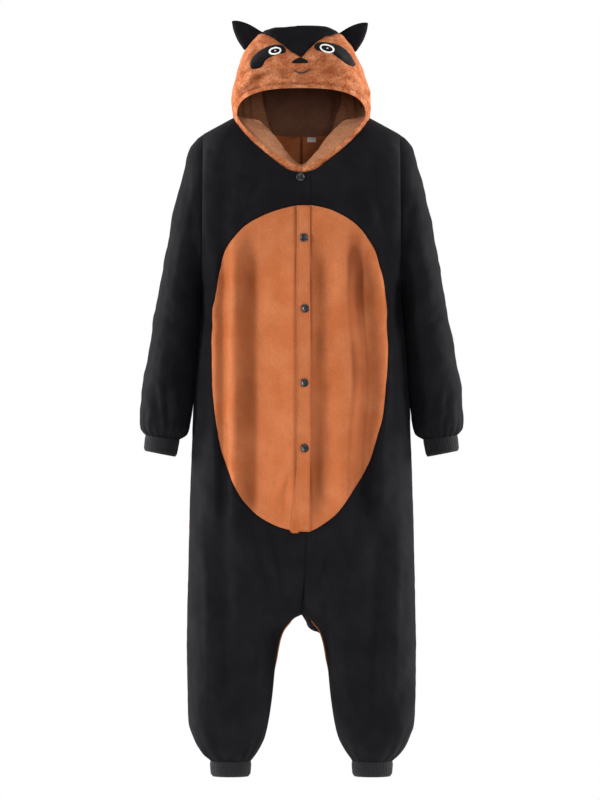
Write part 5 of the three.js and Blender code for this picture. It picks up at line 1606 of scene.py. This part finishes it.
button_threads = []
for number, (x, z) in enumerate(BUTTONS, 1):
    # A button lies along the placket, as high as the highest of five points of cloth under it.
    around = np.array([(0, 0), (-5, 0), (5, 0), (0, -5), (0, 5)]) + (x, z)
    where = laid_on(placket_tree, around[:, 0], around[:, 1])[0]
    aside = (where[2] - where[1]) / np.linalg.norm(where[2] - where[1])
    above = where[4] - where[3] - aside * np.dot(where[4] - where[3], aside)
    above /= np.linalg.norm(above)
    facing = np.cross(aside, above)
    frame_of = np.stack([aside, above, facing])
    seat = where[0] + facing * (0.5 + max((where - where[0]) @ facing))
    placed = button_points @ frame_of + seat
    piece = mesh_object(f"button_{number}", placed, button_faces, BUTTON_POLYESTER, 40)
    settle(piece)
    for row in (-HOLE_OFF, HOLE_OFF):
        tube_points, tube_faces = thread_over([(across, row, out) for across, out in THREAD_LOOP], 0.55)
        button_threads.append((tube_points @ frame_of + seat, tube_faces))
threads = mesh_object("button_threads", *joined(button_threads), BLACK_THREAD)
settle(threads)
print("buttons:", len(BUTTONS), "with", len(button_faces), "faces each")

# %% [markdown]
# ## Stitches
# Topstitching is hundreds of equal stitches along a line, so Geometry Nodes lay them. The tree turns a line
# into a curve, steps along it at the stitch length, sets a small spindle at each step, turns it along the
# curve and makes it all one mesh.

# %% Sew the stitches
stitch_tree, given = tree_inputs("stitches_along_a_line", [
    ("Step", "NodeSocketFloat"), ("Length", "NodeSocketFloat"), ("Width", "NodeSocketFloat"),
    ("Material", "NodeSocketMaterial"),
])
line = add(stitch_tree, "GeometryNodeMeshToCurve", inputs={"Mesh": given.outputs["Geometry"]})
stepped = add(stitch_tree, "GeometryNodeResampleCurve", {"mode": "LENGTH"}, {
    "Curve": line.outputs["Curve"], "Length": given.outputs["Step"],
})
spindle = add(stitch_tree, "GeometryNodeMeshUVSphere", inputs={"Segments": 6, "Rings": 4, "Radius": 0.5})
shape = add(stitch_tree, "ShaderNodeCombineXYZ", inputs={
    "X": given.outputs["Width"], "Y": given.outputs["Width"], "Z": given.outputs["Length"],
})
along = add(stitch_tree, "FunctionNodeAlignRotationToVector", {"axis": "Z"}, {
    "Vector": add(stitch_tree, "GeometryNodeInputTangent").outputs[0],
})
laid = add(stitch_tree, "GeometryNodeInstanceOnPoints", inputs={
    "Points": stepped.outputs["Curve"], "Instance": spindle.outputs["Mesh"],
    "Rotation": along.outputs["Rotation"], "Scale": shape.outputs["Vector"],
})
sewn = add(stitch_tree, "GeometryNodeRealizeInstances", inputs={"Geometry": laid.outputs["Instances"]})
smoothed = add(stitch_tree, "GeometryNodeSetShadeSmooth", inputs={"Geometry": sewn.outputs["Geometry"]})
dressed = add(stitch_tree, "GeometryNodeSetMaterial", inputs={
    "Geometry": smoothed.outputs["Geometry"], "Material": given.outputs["Material"],
})
add(stitch_tree, "NodeGroupOutput", inputs={"Geometry": dressed.outputs["Geometry"]})

RUST_THREAD, tree = new_material("rust_polyester_thread")
# Polyester sewing thread in a darker shade than its cloth, with a slight gloss.
place = add(tree, "ShaderNodeTexCoord").outputs["Object"]
dyed = add(tree, "ShaderNodeTexNoise", inputs={"Vector": place, "Scale": per_metre(5)})
strand = mixed(tree, dyed.outputs["Fac"], colour("6f3818"), colour("9a5630"))
finish_material(tree, add(tree, "ShaderNodeBsdfPrincipled", inputs={
    "Base Color": strand, "Roughness": 0.6,
}))


def stitches(name, lines, step, length, width, material):
    """Stitches along lines of points in millimetres, as one mesh."""
    points, edges = [], []
    for line in lines:
        edges += [(len(points) + k, len(points) + k + 1) for k in range(len(line) - 1)]
        points += (np.asarray(line) * MM).tolist()
    mesh = bpy.data.meshes.new(name)
    mesh.from_pydata(points, edges, [])
    piece = bpy.data.objects.new(name, mesh)
    bpy.context.scene.collection.objects.link(piece)
    grown_mesh(piece, stitch_tree, {
        "Step": step * MM, "Length": length * MM, "Width": width * MM, "Material": material,
    })
    settle(piece)
    print(name, len(piece.data.polygons), "faces")


def line_on(tree, x, z, lift):
    """A line of points laid on the cloth and lifted off it a little."""
    places, facings = laid_on(tree, np.asarray(x, float), np.asarray(z, float))
    return places + facings * lift


hem_way = np.roll(opening_line, -1, axis=0) - np.roll(opening_line, 1, axis=0)
hem_out = np.stack([hem_way[:, 1], -hem_way[:, 0]], axis=1)
hem = opening_line + HEM_WIDTH * hem_out / np.maximum(np.linalg.norm(hem_out, axis=1, keepdims=True), 1e-9)
hem = hem[(hem[:, 1] > 40) & (np.abs(hem[:, 0]) < 132)]
hem = hem[np.argsort(hem[:, 0])]
hem_line = line_on(hood_tree, hem[:, 0], hem[:, 1], 0.15)
stitches("hem_stitches", [hem_line], 3.4, 2.6, 0.75, RUST_THREAD)

levels = np.linspace(PLACKET_JOIN_Z - 3, PLACKET_END_Z + 4, 220)
placket_lines = [
    line_on(placket_tree, PLACKET_RIGHT + TOPSTITCH_IN + waver(levels), levels, 0.1),
    line_on(placket_tree, PLACKET_LEFT - TOPSTITCH_IN + waver(levels), levels, 0.1),
]
cross_x = np.linspace(PLACKET_RIGHT + TOPSTITCH_IN, PLACKET_LEFT - TOPSTITCH_IN, 12)
for z in (PLACKET_END_Z + 2.5, PLACKET_END_Z + 15):
    placket_lines.append(line_on(placket_tree, cross_x, z + 0 * cross_x, 0.1))
stitches("placket_stitches", placket_lines, 3.0, 2.3, 0.7, RUST_THREAD)
smile_x = np.linspace(-16.5, 18, 26)
smile_z = 136.8 + 6.2 * ((smile_x + 1) / 17) ** 2
smile_x, smile_z = seen(smile_x, smile_z, FACE_DEPTH)
stitches("smile", [line_on(hood_tree, smile_x, smile_z, 0.5)], 0.9, 2.8, 3.2, BLACK_THREAD)

# %% [markdown]
# ## The tail
# The tail is a stuffed tube of black fleece, sewn to the seat and hanging behind the legs. It is drawn from
# the rings of its CAD solid, with the lumps that loose stuffing makes.

# %% Stuff the tail
# x, y, z, radius and slope of each ring, from the seat to the tip
TAIL = np.array([
    (2, 130.5, -778, 26, 90), (4, 146, -784, 33, 72), (9, 164, -806, 41, 38), (15, 176, -840, 47, 14),
    (24, 180, -890, 51, 2), (33, 180, -945, 52, 0), (41, 178, -995, 49, -2), (46, 176, -1030, 39, -2),
    (48, 175, -1050, 25, -2), (49, 175, -1060, 0, -2),
], float)
run = run_of(TAIL[:, :3])
at = run[-1] * (1 - (1 - np.linspace(0, 1, 90)) ** 1.25)
rows = np.stack([fair(run, TAIL[:, k], at) for k in range(5)], axis=1)
# The tip is rounded off as part of a ball.
down = np.clip((rows[:, 2] + 1060) / 78, 0, 1)
rows[:, 3] = np.where(rows[:, 2] < -1010, 51 * np.sqrt(down * (2 - down)), rows[:, 3])
rows = np.concatenate([rows[:1] * (1, 1, 1, 0, 1), rows])
turn = np.linspace(0, 2 * math.pi, 72, endpoint=False)
forward = rows[:, 3:4] * np.sin(turn)
pitch = np.radians(rows[:, 4:5])
grid = np.stack([
    rows[:, 0:1] + rows[:, 3:4] * np.cos(turn), rows[:, 1:2] + forward * np.cos(pitch),
    rows[:, 2:3] + forward * np.sin(pitch),
], axis=-1)
points = grid.reshape(-1, 3)
centre = np.repeat(rows[:, :3], len(turn), axis=0)
triangles = grid_triangles(len(rows), len(turn), True)
table, triangles = tidy(points, facing_out(points, triangles, points - centre))
lumps = 1.6 * ripple(table, 46, 71) + 0.7 * ripple(table, 20, 72)
along_tail = np.clip((-778 - table[:, 2]) / 60, 0, 1)
skin = table + normals_of(table, triangles) * (lumps * along_tail)[:, None]
tail = mesh_object("tail", skin, triangles, BLACK_FLEECE)
settle(tail)
print("tail:", len(tail.data.polygons), "triangles")

# %% [markdown]
# ## The neck label
# A small blank woven label is sewn inside the back, just under the nape. It is polyester satin: fine
# threads, a little brighter where they turn to the light.

# %% Weave the label
label_material, tree = new_material("white_satin_label")
# Woven polyester satin, drawn with threads of 0.94 mm, coarser than real, so that they show.
place = add(tree, "ShaderNodeTexCoord").outputs["Object"]
weft = add(tree, "ShaderNodeTexWave", {"bands_direction": "Z"}, {
    "Vector": place, "Scale": bands(0.9425),
})
satin = mixed(tree, weft.outputs["Fac"], colour("d8d0cc"), colour("fbf8f6"))
weave = add(tree, "ShaderNodeBump", inputs={
    "Height": weft.outputs["Fac"], "Strength": 0.3, "Distance": 0.2 * MM,
})
finish_material(tree, add(tree, "ShaderNodeBsdfPrincipled", inputs={
    "Base Color": satin, "Roughness": 0.5, "Sheen Weight": 0.2,
    "Normal": weave.outputs["Normal"],
}))
back_tree = tree_of(back_skins["left"])
LABEL_COLUMNS, LABEL_ROWS = 20, 12
x, z = np.meshgrid(np.linspace(12.5, 31, LABEL_COLUMNS), np.linspace(-3, 7.5, LABEL_ROWS))
places, facings = laid_on(back_tree, x.ravel(), z.ravel(), 0)
facings = facings * np.sign(facings[:, 1:2])
curl = 0.25 * np.sin(x.ravel() / 3.1)
outer = places - facings * (CLOTH + 0.3)
inner = places - facings * (CLOTH + 0.8 + 0.1 * curl)[:, None]
triangles = grid_triangles(LABEL_ROWS, LABEL_COLUMNS, False)
triangles = facing_out(inner, triangles, -facings)
points, faces = closed_between(inner, outer, triangles)
label = mesh_object("neck_label", points, faces, label_material)
settle(label)
print("label:", len(label.data.polygons), "triangles")

# %% [markdown]
# ## What each piece is cut from
# Every piece of cloth is listed with the flat size it was cut to, so that anyone who drapes the suit anew
# starts from the right amount. The width and length are the paper pattern's, and the area is what the cut
# leaves of that rectangle. Ears and tail are padded and are left out. The loop only spells out each name.


# width, length and area of each cut in metres, how it is held, and what it is sewn to
CUTS = {
    "front_{}": (0.31, 1.40, 0.27, "hung", ["back_{}", "sleeve_{}", "belly_{}", "hood_face"]),
    "back_{}": (0.31, 1.40, 0.377, "hung", ["front_{}", "sleeve_{}", "hood_crown"]),
    "sleeve_{}": (0.81, 0.64, 0.204, "gathered", ["front_{}", "back_{}", "sleeve_cuff_{}"]),
    "sleeve_cuff_{}": (0.24, 0.036, 0.0086, "stretched", ["sleeve_{}"]),
    "ankle_cuff_{}": (0.25, 0.036, 0.009, "stretched", ["front_{}", "back_{}"]),
    "hood_lining_{}": (0.26, 0.36, 0.056, "gathered", ["hood_face", "hood_lining_back"]),
    "belly_right": (0.22, 0.70, 0.124, "hung", ["front_right", "placket"]),
    "belly_left": (0.20, 0.70, 0.110, "hung", ["front_left", "placket"]),
    "hood_face": (0.62, 0.30, 0.119, "hung", ["hood_crown", "front_right", "front_left"]),
    "hood_crown": (0.17, 0.48, 0.064, "hung", ["hood_face", "back_right", "back_left"]),
    "hood_lining_back": (0.19, 0.60, 0.092, "hung", ["hood_crown", "hood_lining_right", "hood_lining_left"]),
    "placket": (0.030, 0.70, 0.021, "folded", ["belly_right", "belly_left"]),
    "placket_underlap": (0.018, 0.133, 0.0016, "laid", ["belly_right"]),
    "placket_top": (0.029, 0.075, 0.0021, "folded", ["front_right", "front_left"]),
    "eye_patch_right": (0.080, 0.057, 0.0026, "laid", ["hood_face"]),
    "eye_patch_left": (0.092, 0.060, 0.0034, "laid", ["hood_face"]),
    "eye_ring_right": (0.028, 0.019, 0.0005, "laid", ["eye_patch_right"]),
    "eye_ring_left": (0.033, 0.021, 0.00065, "laid", ["eye_patch_left"]),
    "pupil_right": (0.021, 0.012, 0.00024, "laid", ["eye_ring_right"]),
    "pupil_left": (0.026, 0.014, 0.00035, "laid", ["eye_ring_left"]),
    "nose": (0.035, 0.013, 0.00044, "laid", ["hood_face"]),
    "neck_label": (0.020, 0.012, 0.00024, "laid", ["back_left"]),
}
for pattern, (width, length, area, held, beside) in CUTS.items():
    for side in ("right", "left") if "{}" in pattern else ("",):
        name = pattern.format(side)

# %% [markdown]
# ## Floor, light and camera
# The photograph is a studio picture on white. Its folds are dark on their right, so the key light comes from
# the left, and both outer edges are lit from behind. The suit is held up, so the floor lies below its feet.

# %% Set the stage
scene = bpy.context.scene
floor_material, tree = new_material("matt_white_floor")
finish_material(tree, add(tree, "ShaderNodeBsdfPrincipled", inputs={
    "Base Color": colour("f8f8f8"), "Roughness": 0.9, "Specular IOR Level": 0.1,
}))
FLOOR_Z, FLOOR_HALF, FLOOR_FRONT, FLOOR_BACK = -1440, 1700, -1900, 300
floor = mesh_object("floor", [
    (-FLOOR_HALF, FLOOR_FRONT, FLOOR_Z), (FLOOR_HALF, FLOOR_FRONT, FLOOR_Z),
    (FLOOR_HALF, FLOOR_BACK, FLOOR_Z), (-FLOOR_HALF, FLOOR_BACK, FLOOR_Z),
], [(0, 1, 2, 3)], floor_material)
floor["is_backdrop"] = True

world = bpy.data.worlds.new("white_studio")
world.use_nodes = True
world.node_tree.nodes.clear()
rays = add(world.node_tree, "ShaderNodeLightPath")
strength = add(world.node_tree, "ShaderNodeMapRange", inputs={
    "Value": rays.outputs["Is Camera Ray"], "To Min": 0.1, "To Max": 1.0,
})
sky = add(world.node_tree, "ShaderNodeBackground", inputs={
    "Color": (1, 1, 1, 1), "Strength": strength.outputs[0],
})
add(world.node_tree, "ShaderNodeOutputWorld", inputs={"Surface": sky.outputs[0]})
scene.world = world


def soft_light(name, place, aim, size, power):
    """A round softbox that faces a point. Sizes are in metres and power in watts."""
    light = bpy.data.lights.new(name, "AREA")
    light.shape, light.size, light.energy = "DISK", size, power
    lamp = bpy.data.objects.new(name, light)
    lamp.location = place
    lamp.rotation_euler = (Vector(aim) - Vector(place)).to_track_quat("-Z", "Y").to_euler()
    scene.collection.objects.link(lamp)


soft_light("key_softbox", (-3.5, -1.8, 0.4), (0, 0, -0.5), 1.1, 130)
soft_light("front_softbox", (0.5, -5.0, 0.2), (0, 0, -0.5), 1.6, 55)
soft_light("side_softbox", (3.3, -0.7, 0.0), (0, 0, -0.6), 1.2, 95)
soft_light("right_rim_softbox", (2.9, 1.0, 0.0), (0, 0, -0.6), 1.6, 130)
soft_light("left_rim_softbox", (-3.0, 1.0, 0.0), (0, 0, -0.6), 1.6, 170)
soft_light("top_softbox", (0.2, -1.2, 2.6), (0, 0, -0.4), 1.4, 30)

camera = bpy.data.objects.new("camera", bpy.data.cameras.new("camera"))
camera.location = (CAMERA_X * MM, -VIEW_DISTANCE * MM, CAMERA_Z * MM)
camera.rotation_euler = (math.radians(90), 0, 0)
camera.data.sensor_width, camera.data.lens = 36, 191.2
camera.data.clip_end = 100
scene.collection.objects.link(camera)
scene.camera = camera
scene.view_settings.view_transform = "Standard"
print("camera", tuple(round(v, 3) for v in camera.location), "lens", camera.data.lens, "mm")

# %% [markdown]
# ## Measure and finish
# The visible suit has to stay inside the CAD frame's box, apart from what soft cloth may stand proud. The
# two boxes are printed side by side, so that they can be compared.

# %% Print the boxes and finish
visual_box = [list(corner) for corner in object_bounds()]
for label, box in (("CAD", cad_box), ("visual", visual_box)):
    print(label, [[round(v, 4) for v in corner] for corner in box])
